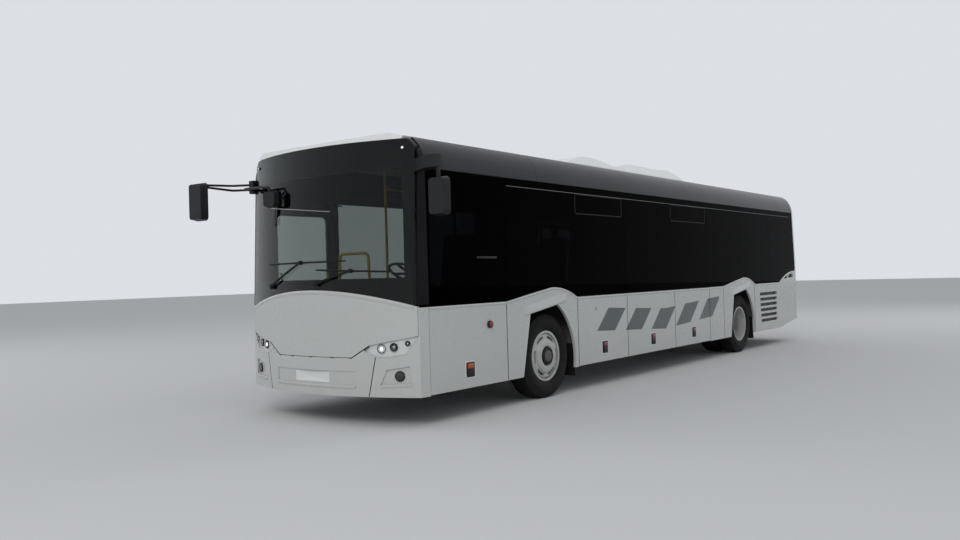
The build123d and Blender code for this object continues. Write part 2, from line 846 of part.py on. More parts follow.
fog_recess = ((932.0, 573.0), (1159.0, 607.0), (1179.0, 435.0), (861.0, 416.0))
fog_place = (1062.0, 510.0)
fog_radius = 52.0
fog_sink = 16.0
fog_depth = 50.0
corner_high = bonnet_side[1]
lip_reach = 25.0
lip_width = 65.0
lip_thickness = 14.0
lip_top = waist_low - panel_gap
with BuildPart() as bumper_corners:
    extrude(front_plan(0, fascia_thickness, corner_half, bumper_low), amount=620)
    corner_outline = front_face(
        (
            (seam_low[0], bumper_low),
            seam_top,
            (seam_top[0], corner_high),
            (corner_half, corner_high),
            (corner_half, bumper_low),
        )
    )
    extrude(corner_outline, amount=body_length, mode=Mode.INTERSECT)
    extrude(bonnet_room, amount=body_length, mode=Mode.SUBTRACT)
    extrude(lamp_room, amount=body_length, mode=Mode.SUBTRACT)
    with BuildSketch(Plane.XY.offset(bumper_low)):
        with BuildLine():
            Polyline(
                (nose_x - corner_depth, corner_half),
                (station(side_start - panel_gap), half_width),
                (station(side_start - panel_gap), half_width - skirt_thickness),
                (nose_x - corner_depth - fascia_thickness, corner_half - skirt_thickness),
                (nose_x - corner_depth - fascia_thickness, bonnet_side[0] + panel_gap),
                (nose_x - corner_depth + 3, bonnet_side[0] + panel_gap),
                close=True,
            )
        make_face()
    extrude(amount=belt_height - bumper_low)
    # A lip behind the first side panel's front edge, which carries it.
    with Locations((station(side_start + lip_reach), half_width - skirt_thickness - seat_gap, bumper_low)):
        Box(lip_width, lip_thickness, lip_top - bumper_low, align=(Align.MIN, Align.MAX, Align.MIN))
    # The fog lamp's recess follows the corner's curve, and the lamp faces square out of it.
    pan = extrude(front_plan(-fog_sink, 2 * fog_sink, corner_half, bumper_low), amount=400, mode=Mode.PRIVATE)
    add(pan & extrude(inward(fog_recess, 0), amount=body_length, mode=Mode.PRIVATE), mode=Mode.SUBTRACT)
    with Locations(nose_plane(*fog_place)):
        Cylinder(fog_radius, 4 * fog_depth, mode=Mode.SUBTRACT)
    mirror(about=Plane.XZ)
finish(bumper_corners.part, "bumper_corners")

with BuildPart() as fog_lamps:
    with Locations(nose_plane(*fog_place).offset(-fog_sink / 2)):
        Cylinder(fog_radius - seat_gap, fog_depth, align=hung)
    mirror(about=Plane.XZ)
with BuildPart() as front_lamps:
    add(headlamps.part)
    add(fog_lamps.part)
finish(front_lamps.part, "front_lamps")

# Black corner posts between the windscreen and the first side panes.
post_low = bonnet_corner[1] + panel_gap
with BuildPart() as corner_posts:
    with BuildSketch(Plane.XY.offset(post_low)):
        with BuildLine():
            Polyline(
                (nose_x - corner_depth, corner_half - 2),
                (station(side_start), half_width),
                (station(side_start) - 2 * screen_lean, half_width),
                (station(side_start) - 2 * screen_lean, half_width - wall_thickness),
                (nose_x - corner_depth - wall_thickness, frame_half + 2 * panel_gap),
                (nose_x - corner_depth + 8, screen_half + 2),
                close=True,
            )
        make_face()
    extrude(amount=(roof_edge_height - post_low) / lean.Z, dir=lean)
    side_room = side_box(side_start + 2 - seat_gap, side_start + 3 * screen_lean, 0, crown_height)
    extrude(side_room, amount=400, mode=Mode.SUBTRACT)
    extrude(body_section(post_low - 50, screen_top), amount=body_length, mode=Mode.INTERSECT)
    mirror(about=Plane.XZ)

# The tail: a curved fascia with a rear window and an engine flap under it.
tail_low = kink_end_height
engine_flap_half = 860.0
rebate_width = 30.0
engine_flap_low = 560.0
engine_flap_top = 1300.0
rear_window_half = 980.0
rear_window_low = 1640.0
rear_window_top = 2600.0
tail_half = half_width
with BuildPart() as tail:
    extrude(rear_plan(0, wall_thickness, tail_half + 20, tail_low), amount=tail_bend - tail_low)
    add(tail_slab(0, wall_thickness, tail_half + 20, tail_bend, screen_top - seat_gap))
    with BuildSketch(Plane.YZ.offset(station(body_length) - 50)) as tail_outline:
        with BuildLine():
            Line((-tail_half, band_top), (-tail_half, tail_low))
            Line((-tail_half, tail_low), (tail_half, tail_low))
            Line((tail_half, tail_low), (tail_half, band_top))
            ThreePointArc((tail_half, band_top), cove_bulge, roof_edge)
            Line(roof_edge, across(roof_edge))
            ThreePointArc(
                (-roof_edge_half, roof_edge_height),
                (-cove_bulge[0], cove_bulge[1]),
                (-tail_half, band_top),
            )
        make_face()
    extrude(amount=800, mode=Mode.INTERSECT)
    flap_hole = front_face(
        mirrored(
            (
                (0, engine_flap_top + panel_gap),
                (engine_flap_half + panel_gap, engine_flap_top + panel_gap),
                (engine_flap_half + panel_gap, engine_flap_low - panel_gap),
                (0, engine_flap_low - panel_gap),
            )
        )
    )
    rebate = extrude(flap_hole, amount=-body_length, mode=Mode.PRIVATE)
    skin = rear_plan(-wall_thickness, wall_thickness + fascia_thickness + seat_gap, tail_half, tail_low)
    add(rebate & extrude(skin, amount=tail_bend - tail_low, mode=Mode.PRIVATE), mode=Mode.SUBTRACT)
    inner_hole = front_face(
        mirrored(
            (
                (0, engine_flap_top - rebate_width),
                (engine_flap_half - rebate_width, engine_flap_top - rebate_width),
                (engine_flap_half - rebate_width, engine_flap_low + rebate_width),
                (0, engine_flap_low + rebate_width),
            )
        )
    )
    extrude(inner_hole, amount=-body_length, mode=Mode.SUBTRACT)
    window_hole = front_face(
        mirrored(
            (
                (0, rear_window_top),
                (rear_window_half, rear_window_top),
                (rear_window_half, rear_window_low),
                (0, rear_window_low),
            )
        )
    )
    extrude(window_hole, amount=-body_length, mode=Mode.SUBTRACT)
finish(tail.part, "tail_fascia")

with BuildPart() as rear_window:
    add(tail_slab(0, glass_thickness, rear_window_half, rear_window_low, rear_window_top))
    pane = front_face(
        mirrored(
            (
                (0, rear_window_top - seat_gap),
                (rear_window_half - seat_gap, rear_window_top - seat_gap),
                (rear_window_half - seat_gap, rear_window_low + seat_gap),
                (0, rear_window_low + seat_gap),
            )
        )
    )
    extrude(pane, amount=-body_length, mode=Mode.INTERSECT)
finish(rear_window.part, "rear_window")

flap_slot_count = 5
with BuildPart() as engine_flap:
    flap_plan = rear_plan(0, fascia_thickness, engine_flap_half, engine_flap_low)
    extrude(flap_plan, amount=engine_flap_top - engine_flap_low)
    with BuildSketch(Plane.YZ.offset(station(body_length) - 50)):
        with GridLocations(0, 70, 1, flap_slot_count):
            with Locations((0, (engine_flap_low + engine_flap_top) / 2 + 120)):
                Rectangle(2 * engine_flap_half - 420, 34)
    extrude(amount=400, mode=Mode.SUBTRACT)
    # A flat recess for the rear plate.
    rear_plate_x = station(body_length) + tail_drop(plate_half) + 6
    with BuildSketch(Plane.YZ.offset(rear_plate_x)):
        with Locations((0, engine_flap_low + 110)):
            Rectangle(2 * plate_half, plate_high - plate_low)
    extrude(amount=-60, mode=Mode.SUBTRACT)
finish(engine_flap.part, "engine_flap")

# Tail lamps: a column of round lamps in each rear corner.
tail_lamp_y = 1040.0
tail_lamp_radius = 52.0
tail_lamp_heights = (760.0, 890.0, 1020.0, 1150.0)
tail_lamp_x = station(body_length) + tail_drop(tail_lamp_y)
with BuildPart() as tail_lamps:
    with BuildSketch(Plane.YZ.offset(tail_lamp_x - 12)):
        with Locations([(sign * tail_lamp_y, z) for sign in (-1, 1) for z in tail_lamp_heights]):
            Circle(tail_lamp_radius)
    extrude(amount=14)
    behind_tail = rear_plan(-40, 40 - seat_gap, tail_half, tail_low)
    extrude(behind_tail, amount=tail_bend - tail_low, mode=Mode.INTERSECT)
finish(tail_lamps.part, "tail_lamps")

# The floor: a low slab from the nose to the rear axle and a raised platform behind it.
floor_half = half_width - wall_thickness - seat_gap
floor_start = 420.0
platform_start = 8230.0
floor_end = 11690.0
well_depth = 760.0
front_well = (front_door[0] - 40, front_door[1] + 60)
middle_well = (middle_door[0] - 16, middle_door[1] + 16)
housing_reach = 615.0
housing_inner_y = 530.0
rear_housing_y = 560.0
housing_top = 1125.0
housing_wall = 12.0
floor_inner = half_width - skirt_thickness - seat_gap
with BuildPart() as floor:
    with BuildSketch(Plane.XY.offset(floor_top - floor_thickness)):
        with BuildLine():
            Polyline(
                (station(floor_start), floor_half),
                (station(platform_start), floor_half),
                (station(platform_start), -floor_half),
                (station(floor_start), -floor_half),
                close=True,
            )
        make_face()
        for well in (front_well, middle_well):
            with Locations((station(sum(well) / 2), -floor_half)):
                Rectangle(well[1] - well[0], 2 * well_depth, mode=Mode.SUBTRACT)
        for sign in (-1, 1):
            with Locations((station(front_axle_at), sign * (housing_inner_y + floor_half) / 2)):
                Rectangle(2 * housing_reach, floor_half - housing_inner_y + 1, mode=Mode.SUBTRACT)
    extrude(amount=floor_thickness)
    with Locations((station((platform_start + floor_end) / 2), 0, platform_top)):
        Box(
            floor_end - platform_start,
            2 * floor_half,
            platform_thickness,
            align=hung,
        )
    with Locations((station(platform_start), 0, floor_top - floor_thickness)):
        Box(
            platform_thickness,
            2 * floor_half,
            platform_top - floor_top + floor_thickness,
            align=(Align.MIN, Align.CENTER, Align.MIN),
        )
finish(floor.part, "floor")

housing_table = (
    (front_axle_at, housing_inner_y, housing_top),
    (rear_axle_at, rear_housing_y, platform_top - platform_thickness - seat_gap),
)
housing_low = 600.0
with BuildPart() as housings:
    for place, inner_y, top in housing_table:
        with BuildSketch(Plane.XZ.offset(-floor_inner)):
            with Locations((station(place), (housing_low + top) / 2)):
                Rectangle(2 * housing_reach - 2 * seat_gap, top - housing_low)
        extrude(amount=floor_inner - inner_y - seat_gap)
        with BuildSketch(Plane.XZ.offset(-floor_inner)):
            with Locations((station(place), (housing_low + top) / 2 - housing_wall)):
                Rectangle(2 * (housing_reach - seat_gap - housing_wall), top - housing_low)
        extrude(amount=floor_inner - inner_y - seat_gap - housing_wall, mode=Mode.SUBTRACT)
    mirror(about=Plane.XZ)
finish(housings.part, "wheel_housings")

# Three steps inside each doorway, folded from plate, with side cheeks up to the floor.
step_low = 360.0
step_count = 3
step_thickness = 20.0
step_rise = (floor_top - step_low) / step_count
step_start_y = half_width - door_thickness - 25
step_end_y = floor_half - well_depth + seat_gap
step_tread = (step_start_y - step_end_y) / step_count
with BuildPart() as steps:
    for well in (front_well, middle_well):
        well_length = well[1] - well[0] - 2 * seat_gap
        for n in range(step_count):
            tread_y = -(step_start_y - n * step_tread)
            tread_z = step_low + n * step_rise
            with Locations((station(sum(well) / 2), tread_y, tread_z)):
                Box(well_length, step_tread, step_thickness, align=(Align.CENTER, Align.MIN, Align.MAX))
            with Locations((station(sum(well) / 2), tread_y + step_tread, tread_z)):
                Box(
                    well_length,
                    step_thickness,
                    step_rise + step_thickness,
                    align=(Align.CENTER, Align.MAX, Align.MIN),
                )
            for edge, side in ((well[0] + seat_gap, Align.MAX), (well[1] - seat_gap, Align.MIN)):
                with Locations((station(edge), -(step_start_y - n * step_tread), step_low + n * step_rise)):
                    Box(
                        12,
                        step_tread,
                        floor_top - step_low - n * step_rise,
                        align=(side, Align.MIN, Align.MIN),
                    )
finish(steps.part, "door_steps")

# Underframe: two long rails with cross members, and the luggage hold's trays and bulkheads.
rail_y = 400.0
rail_width = 70.0
rail_height = 180.0
rail_top = floor_top - floor_thickness - seat_gap
rail_start = nose_drop(upright_y + upright_width / 2) + bulkhead_inset + frame_depth + seat_gap
rail_ends = (rail_start, 11500.0)
member_places = (500.0, 1300.0, 1960.0, 3240.0, 4562.0, 6040.0, 7430.0, 8190.0, 9510.0)
member_width = 60.0
with BuildPart() as underframe:
    with Locations([(station(sum(rail_ends) / 2), sign * rail_y, rail_top) for sign in (-1, 1)]):
        Box(rail_ends[1] - rail_ends[0], rail_width, rail_height, align=hung)
    with Locations([(station(d), 0, rail_top) for d in member_places]):
        Box(member_width, 2 * rail_y, rail_height - 60, align=hung)
finish(underframe.part, "underframe")

hold_low = 330.0
hold_plate = 15.0
hold_top = rail_top - rail_height - seat_gap
hold_outer = half_width - skirt_thickness - seat_gap
bulkheads = (flap_starts[0] + 10, flap_starts[1], flap_starts[2] - 60)
with BuildPart() as hold:
    with Locations((station(sum((bulkheads[0], bulkheads[2])) / 2), 0, hold_low)):
        Box(
            bulkheads[2] - bulkheads[0],
            2 * hold_outer,
            hold_plate,
            align=stood,
        )
    with Locations((station((bulkheads[2] + flap_zone_end - 10) / 2), hold_outer, hold_low)):
        Box(
            flap_zone_end - 10 - bulkheads[2] + hold_plate,
            hold_outer + step_end_y - 60,
            hold_plate,
            align=(Align.CENTER, Align.MAX, Align.MIN),
        )
    with Locations([(station(d), 0, hold_low) for d in bulkheads]):
        Box(hold_plate, 2 * hold_outer, hold_top - hold_low, align=stood)
    with Locations((station(flap_zone_end - 10), hold_outer, hold_low)):
        Box(
            hold_plate,
            hold_outer + step_end_y - 60,
            hold_top - hold_low,
            align=(Align.CENTER, Align.MAX, Align.MIN),
        )
finish(hold.part, "luggage_hold")

# The engine as a plain block, and the axles.
engine_size = (1250.0, 620.0, 560.0)
engine_at = 10760.0
engine_foot = 90.0
engine_foot_shift = 380.0
with BuildPart() as engine:
    with Locations((station(engine_at), 0, platform_top - platform_thickness - 40)):
        Box(*engine_size, align=hung)
    foot_reach = rail_y - rail_width / 2 - seat_gap
    foot_places = (engine_at - engine_foot_shift, engine_at + engine_foot_shift)
    with Locations([(station(d), 0, rail_top - 60) for d in foot_places]):
        Box(engine_foot, 2 * foot_reach, engine_foot, align=hung)
finish(engine.part, "engine")

axle_beam = (110.0, 90.0)
with BuildPart() as front_axle:
    with Locations((station(front_axle_at), 0, tyre_radius)):
        Box(axle_beam[0], 2 * kingpin_y, axle_beam[1])
    with Locations([(station(front_axle_at), sign * kingpin_y, tyre_radius) for sign in (-1, 1)]):
        Cylinder(boss_radius, boss_height)
        Cylinder(kingpin_radius + pin_clearance, boss_height, mode=Mode.SUBTRACT)
    with Locations([(station(front_axle_at), sign * rail_y, tyre_radius) for sign in (-1, 1)]):
        Box(150, 90, rail_top - rail_height - seat_gap - tyre_radius, align=stood)
finish(front_axle.part, "front_axle")

lug_thickness = 45.0
lug_gap = 1.0
plate_y = 985.0
for side, sign in (("left", 1), ("right", -1)):
    with BuildPart() as knuckle:
        with Locations((station(front_axle_at), sign * kingpin_y, tyre_radius)):
            Cylinder(kingpin_radius, boss_height + 2 * lug_gap + 2)
        for end in (-1, 1):
            lug_z = tyre_radius + end * (boss_height / 2 + lug_gap + lug_thickness / 2)
            with Locations((station(front_axle_at), sign * kingpin_y, lug_z)):
                Cylinder(boss_radius, lug_thickness)
            with Locations((station(front_axle_at), sign * (kingpin_y + plate_y) / 2, lug_z)):
                Box(2 * boss_radius, plate_y - kingpin_y, lug_thickness)
        with Locations((station(front_axle_at), sign * (plate_y + 12), tyre_radius)):
            Box(2 * boss_radius, 24, boss_height + 2 * lug_gap + 2 * lug_thickness)
        with BuildSketch(Plane.XZ.offset(-sign * (plate_y + 20))):
            with Locations((station(front_axle_at), tyre_radius)):
                Circle(spindle_radius)
        extrude(amount=-sign * 150)
    finish(knuckle.part, f"{side}_knuckle")

hub_tube = 68.0
with BuildPart() as rear_axle:
    with BuildSketch(Plane.XZ.offset(-600)):
        with Locations((station(rear_axle_at), tyre_radius)):
            Circle(hub_tube)
    extrude(amount=1200)
    with BuildSketch(Plane.XZ.offset(-1100)):
        with Locations((station(rear_axle_at), tyre_radius)):
            Circle(spindle_radius)
    extrude(amount=2200)
    with Locations((station(rear_axle_at), 0, tyre_radius)):
        Sphere(190)
    with Locations([(station(rear_axle_at), sign * rail_y, tyre_radius) for sign in (-1, 1)]):
        Box(150, 90, rail_top - rail_height - seat_gap - tyre_radius, align=stood)
finish(rear_axle.part, "rear_axle")

# Wheels. Each section is drawn in Y and radius, then turned about the axle.
hole_count = 10
hub_radius = 150.0
hub_hole = 111.0
slot_circle = 225.0
slot_height = 34.0
slot_count = 6
slot_span = 32.0
disc_thickness = 14.0


def wheel_plane(axle_at):
    return Plane(origin=(station(axle_at), 0, tyre_radius), x_dir=(0, 1, 0), z_dir=(1, 0, 0))


def ring_section(axle_at, points):
    with BuildSketch(wheel_plane(axle_at)) as section:
        with BuildLine():
            Polyline(list(points), close=True)
        make_face()
    return section.sketch


def tyre_section(axle_at, middle_y):
    half = tyre_width / 2
    with BuildSketch(wheel_plane(axle_at)) as section:
        with BuildLine():
            Polyline(
                (middle_y - flange_half + 16, bead_radius + 0.5),
                (middle_y + flange_half - 16, bead_radius + 0.5),
                (middle_y + flange_half - 8, flange_radius + 4),
            )
            ThreePointArc(
                (middle_y + flange_half - 8, flange_radius + 4),
                (middle_y + half, flange_radius + 75),
                (middle_y + half - 22, tyre_radius - 45),
            )
            Polyline(
                (middle_y + half - 22, tyre_radius - 45),
                (middle_y + half - 38, tyre_radius - 8),
                (middle_y, tyre_radius),
                (middle_y - half + 38, tyre_radius - 8),
                (middle_y - half + 22, tyre_radius - 45),
            )
            ThreePointArc(
                (middle_y - half + 22, tyre_radius - 45),
                (middle_y - half, flange_radius + 75),
                (middle_y - flange_half + 8, flange_radius + 4),
            )
            Line(
                (middle_y - flange_half + 8, flange_radius + 4),
                (middle_y - flange_half + 16, bead_radius + 0.5),
            )
        make_face()
    return section.sketch


def rim_points(middle_y):
    return (
        (middle_y - flange_half, bead_radius - 12),
        (middle_y - flange_half, flange_radius),
        (middle_y - flange_half + 9, flange_radius),
        (middle_y - flange_half + 14, bead_radius),
        (middle_y + flange_half - 14, bead_radius),
        (middle_y + flange_half - 9, flange_radius),
        (middle_y + flange_half, flange_radius),
        (middle_y + flange_half, bead_radius - 12),
    )


def wheel_axis(axle_at):
    return Axis((station(axle_at), 0, tyre_radius), (0, 1, 0))


front_disc_y = outer_tyre_y + flange_half + 6
for side, sign in (("left", 1), ("right", -1)):
    with BuildPart() as tyre:
        revolve(tyre_section(front_axle_at, outer_tyre_y), axis=wheel_axis(front_axle_at))
        if sign < 0:
            mirror(about=Plane.XZ, mode=Mode.REPLACE)
    finish(tyre.part, f"front_tyre_{side}")
    with BuildPart() as rim:
        revolve(ring_section(front_axle_at, rim_points(outer_tyre_y)), axis=wheel_axis(front_axle_at))
        disc_points = (
            (outer_tyre_y + 60, bead_radius - 4),
            (outer_tyre_y + 60 + disc_thickness, bead_radius - 4),
            (front_disc_y - 12, slot_circle + 22),
            (front_disc_y - 10, slot_circle - 22),
            (front_disc_y + 12, slot_circle - 36),
            (front_disc_y + 21, hub_radius + 12),
            (front_disc_y + 19, hub_hole + 16),
            (front_disc_y + 9, hub_hole + 3),
            (front_disc_y - 32, hub_hole),
            (front_disc_y - 32, 0),
            (plate_y + 30 + 145, 0),
            (plate_y + 30 + 145, spindle_radius + seat_gap),
            (plate_y + 40, spindle_radius + seat_gap),
            (plate_y + 40, 105),
            (front_disc_y - 90, 112),
            (front_disc_y - disc_thickness, hub_radius + 12),
            (front_disc_y - 22 - disc_thickness, 208),
        )
        revolve(ring_section(front_axle_at, disc_points), axis=wheel_axis(front_axle_at))
        with BuildSketch(Plane.XZ.offset(-(front_disc_y + 40))):
            with Locations((station(front_axle_at), tyre_radius)):
                for turn in range(slot_count):
                    start = (turn + 0.5) * 360 / slot_count - slot_span / 2 + 90
                    with BuildLine(mode=Mode.PRIVATE) as slot_line:
                        CenterArc((0, 0), slot_circle, start, slot_span)
                    SlotArc(slot_line.edges()[0], slot_height)
        extrude(amount=130, mode=Mode.SUBTRACT)
        if sign < 0:
            mirror(about=Plane.XZ, mode=Mode.REPLACE)
    finish(rim.part, f"front_rim_{side}")

inner_tyre_y = outer_tyre_y - twin_spacing
twin_face = (outer_tyre_y + inner_tyre_y) / 2
for side, sign in (("left", 1), ("right", -1)):
    with BuildPart() as tyres:
        for middle_y in (outer_tyre_y, inner_tyre_y):
            revolve(tyre_section(rear_axle_at, middle_y), axis=wheel_axis(rear_axle_at))
        if sign < 0:
            mirror(about=Plane.XZ, mode=Mode.REPLACE)
    finish(tyres.part, f"rear_tyres_{side}")
    with BuildPart() as rims:
        for middle_y in (outer_tyre_y, inner_tyre_y):
            revolve(ring_section(rear_axle_at, rim_points(middle_y)), axis=wheel_axis(rear_axle_at))
        for turn in (1, -1):
            disc_points = (
                (twin_face + turn * 92, bead_radius - 4),
                (twin_face + turn * (92 + disc_thickness), bead_radius - 4),
                (twin_face + turn * (38 + disc_thickness), 215),
                (twin_face + turn * disc_thickness, hub_radius + 30),
                (twin_face + turn * disc_thickness, spindle_radius + 40),
                (twin_face, spindle_radius + 40),
                (twin_face, hub_radius + 30),
                (twin_face + turn * 38, 205),
            )
            revolve(ring_section(rear_axle_at, disc_points), axis=wheel_axis(rear_axle_at))
        hub_points = (
            (inner_tyre_y - 60, spindle_radius + seat_gap),
            (inner_tyre_y - 60, 120),
            (twin_face - 10, 120),
            (twin_face + disc_thickness + 10, 120),
            (twin_face + 200, 100),
            (twin_face + 210, 0),
            (1100 + seat_gap, 0),
            (1100 + seat_gap, spindle_radius + seat_gap),
        )
        revolve(ring_section(rear_axle_at, hub_points), axis=wheel_axis(rear_axle_at))
        with BuildSketch(Plane.XZ.offset(-(twin_face + 150))):
            with Locations((station(rear_axle_at), tyre_radius)):
                with PolarLocations(222, hole_count):
                    SlotOverall(78, 44, rotation=90)
        extrude(amount=300, mode=Mode.SUBTRACT)
        if sign < 0:
            mirror(about=Plane.XZ, mode=Mode.REPLACE)
    finish(rims.part, f"rear_rims_{side}")

# Doors. Each leaf hangs from a bent arm on an upright column just inside the doorway.
leaf_frame = 75.0
leaf_rail = 300.0
arm_heights = (560.0, 2290.0)
arm_thickness = 24.0
column_low = step_low + seat_gap
column_high = 2380.0
column_top_plate = 14.0
pivot_standoff = 30.0
pivot_radius = 13.0
pivot_lug = 31.0
elbow = (119.0, 109.0)
leaf_table = (
    ("front_door", front_door[0] + meet_gap, front_door[1] - meet_gap, front_door[1], -1),
    (
        "middle_door_front",
        middle_door[0] + leaf_gap,
        sum(middle_door) / 2 - meet_gap / 2,
        middle_door[0],
        1,
    ),
    (
        "middle_door_rear",
        sum(middle_door) / 2 + meet_gap / 2,
        middle_door[1] - leaf_gap,
        middle_door[1],
        -1,
    ),
)
for name, start, end, jamb, reach in leaf_table:
    middle = station((start + end) / 2)
    length = end - start
    column_x = station(jamb) - reach * column_inset
    pivot_x = column_x - reach * arm_length_x
    elbow_x = column_x - reach * elbow[0]
    pivot_y = -(column_y + arm_offset_y)
    with BuildPart() as leaf:
        with BuildSketch(Plane.XZ.offset(half_width)):
            with Locations((middle, (door_low + door_top) / 2)):
                RectangleRounded(length, door_top - door_low, 12)
            with Locations((middle, (door_low + leaf_rail + door_top - leaf_frame) / 2)):
                RectangleRounded(
                    length - 2 * leaf_frame,
                    door_top - door_low - leaf_frame - leaf_rail,
                    60,
                    mode=Mode.SUBTRACT,
                )
        extrude(amount=-door_thickness)
        for height in arm_heights:
            with Locations((pivot_x, -(half_width - door_thickness), height)):
                Box(90, 8, 2 * pivot_lug, align=(Align.CENTER, Align.MIN, Align.CENTER))
            with Locations((pivot_x, pivot_y, height)):
                Cylinder(pivot_radius - 5, arm_thickness + 50)
            for lug_z in (height + arm_thickness / 2 + 12, height - arm_thickness / 2 - 12):
                with Locations((pivot_x, -(half_width - door_thickness), lug_z)):
                    lug_reach = half_width - door_thickness + pivot_y + 10
                    Box(26, lug_reach, 14, align=(Align.CENTER, Align.MIN, Align.CENTER))
    finish(leaf.part, name)
    with BuildPart() as pane:
        with BuildSketch(Plane.XZ.offset(half_width - 6)):
            with Locations((middle, (door_low + leaf_rail + door_top - leaf_frame) / 2)):
                RectangleRounded(
                    length - 2 * leaf_frame - 2 * seat_gap,
                    door_top - door_low - leaf_frame - leaf_rail - 2 * seat_gap,
                    60 - seat_gap,
                )
        extrude(amount=-glass_thickness)
    finish(pane.part, f"{name}_pane")
    with BuildPart() as arm:
        with Locations((column_x, -column_y, column_low)):
            Cylinder(
                column_radius,
                column_high - column_low,
                align=stood,
            )
        for height in arm_heights:
            with BuildSketch(Plane.XY.offset(height - arm_thickness / 2)):
                with BuildLine() as path:
                    FilletPolyline(
                        (column_x, -column_y),
                        (elbow_x, -column_y + elbow[1]),
                        (pivot_x, pivot_y),
                        radius=60,
                    )
                trace(path.line, line_width=2 * arm_half)
                with Locations((pivot_x, pivot_y)):
                    Circle(pivot_radius)
                    Circle(pivot_radius - 5 + pin_clearance, mode=Mode.SUBTRACT)
            extrude(amount=arm_thickness)
            with Locations((pivot_x, pivot_y, height)):
                Cylinder(pivot_radius - 5 + pin_clearance, arm_thickness + 1, mode=Mode.SUBTRACT)
    finish(arm.part, f"{name}_arm")

# Door headers: a black panel over each doorway, under the cove, with a bracket for each column.
header_thickness = wall_thickness
with BuildPart() as headers:
    for start, end in (
        (side_start + 2, right_panes_front[0] - panel_gap),
        (right_panes_front[-1] + panel_gap / 2, right_panes_rear[0] - panel_gap / 2),
    ):
        with BuildSketch(Plane.XZ.offset(-half_width)):
            add(side_box(start, end, door_top + meet_gap, band_top))
        extrude(amount=header_thickness)
    with BuildSketch(Plane.XZ.offset(-half_width)):
        jamb_low = belt_height + panel_gap
        jamb_top = door_top + meet_gap
        add(side_box(side_start + 2, front_door[0] - meet_gap / 2, jamb_low, jamb_top))
        add(side_box(front_door[1] + leaf_gap / 2, right_panes_front[0] - 3, jamb_low, jamb_top))
    extrude(amount=header_thickness)
    for name, start, end, jamb, reach in leaf_table:
        with Locations((station(jamb) - reach * column_inset, column_y, column_high + seat_gap)):
            Box(90, 2 * (half_width - column_y) - 20, column_top_plate, align=stood)
    mirror(about=Plane.XZ, mode=Mode.REPLACE)
with BuildPart() as posts:
    add(corner_posts.part)
    add(headers.part)
finish(posts.part, "posts_and_headers")

# Inside: dashboard, steering wheel, driver's seat, passenger seats and handrails.
wheel_at = (850.0, 640.0, 1520.0)
wheel_tilt = 28.0
wheel_radius = 225.0
column_tube = 34.0
column_reach = 330.0
steering_place = Location((station(wheel_at[0]), wheel_at[1], wheel_at[2]), (0, -wheel_tilt, 0))
dash_inset = frame_inset + frame_depth + 10
dash_start = 350.0
dash_end = 760.0
dash_half = 1130.0
dash_top = 1430.0
with BuildPart() as dashboard:
    with BuildSketch(Plane.XZ.offset(-dash_half)) as profile:
        with BuildLine():
            Polyline(
                (station(dash_start + 80), floor_top + seat_gap),
                (station(dash_start + 60), dash_top - 60),
                (station(dash_start + 160), dash_top),
                (station(dash_end - 90), dash_top - 20),
                (station(dash_end), dash_top - 120),
                (station(dash_end - 60), dash_top - 190),
                (station(dash_end - 180), floor_top + seat_gap),
                close=True,
            )
        make_face()
    extrude(amount=dash_half + 250)
    extrude(front_plan(dash_inset, 900, dash_half, floor_top - 10), amount=900, mode=Mode.INTERSECT)
    with Locations(steering_place):
        Cylinder(column_tube + seat_gap, column_reach + 1, align=hung, mode=Mode.SUBTRACT)
finish(dashboard.part, "dashboard")

with BuildPart() as steering_wheel:
    with Locations(steering_place):
        Torus(wheel_radius, 14)
        Cylinder(60, 40)
        Box(2 * wheel_radius, 34, 14)
        Box(34, 2 * wheel_radius, 14)
        Cylinder(column_tube, column_reach, align=hung)
finish(steering_wheel.part, "steering_wheel")

seat_cushion = 430.0
seat_width = 890.0
seat_height = 440.0
seat_wall_gap = 20.0
back_height = 1130.0
back_lean = 110.0


def seat_profile(place, base, width, side_y):
    # A seat seen from the side: pedestal, cushion and leaning back.
    with BuildSketch(Plane.XZ.offset(-side_y)) as outline:
        with BuildLine():
            Polyline(
                (station(place + 150), base + seat_gap),
                (station(place + 110), base + seat_height - 120),
                (station(place), base + seat_height - 110),
                (station(place), base + seat_height - 20),
                (station(place + seat_cushion - 20), base + seat_height - 30),
                (station(place + seat_cushion + back_lean - 10), base + back_height),
                (station(place + seat_cushion + back_lean + 70), base + back_height - 10),
                (station(place + seat_cushion + 100), base + seat_height - 120),
                (station(place + 330), base + seat_height - 130),
                (station(place + 330), base + seat_gap),
                close=True,
            )
        make_face()
    return outline.sketch


seat_outer = half_width - wall_thickness - seat_wall_gap
seat_rows_left = [(3330.0 + 760.0 * n, floor_top) for n in range(6)]
seat_rows_right = [(d, floor_top) for d in (3330.0, 4090.0, 4850.0, 7540.0)]
seat_rows_tail = [(8330.0 + 760.0 * n, platform_top) for n in range(4)]
with BuildPart() as seats:
    for place, base in seat_rows_left + seat_rows_tail:
        extrude(seat_profile(place, base, seat_width, seat_outer), amount=seat_width)
    for place, base in seat_rows_right + seat_rows_tail:
        extrude(seat_profile(place, base, seat_width, seat_width - seat_outer), amount=seat_width)
    driver = seat_profile(1150.0, floor_top, 500, 880)
    extrude(driver, amount=480)
finish(seats.part, "seats")

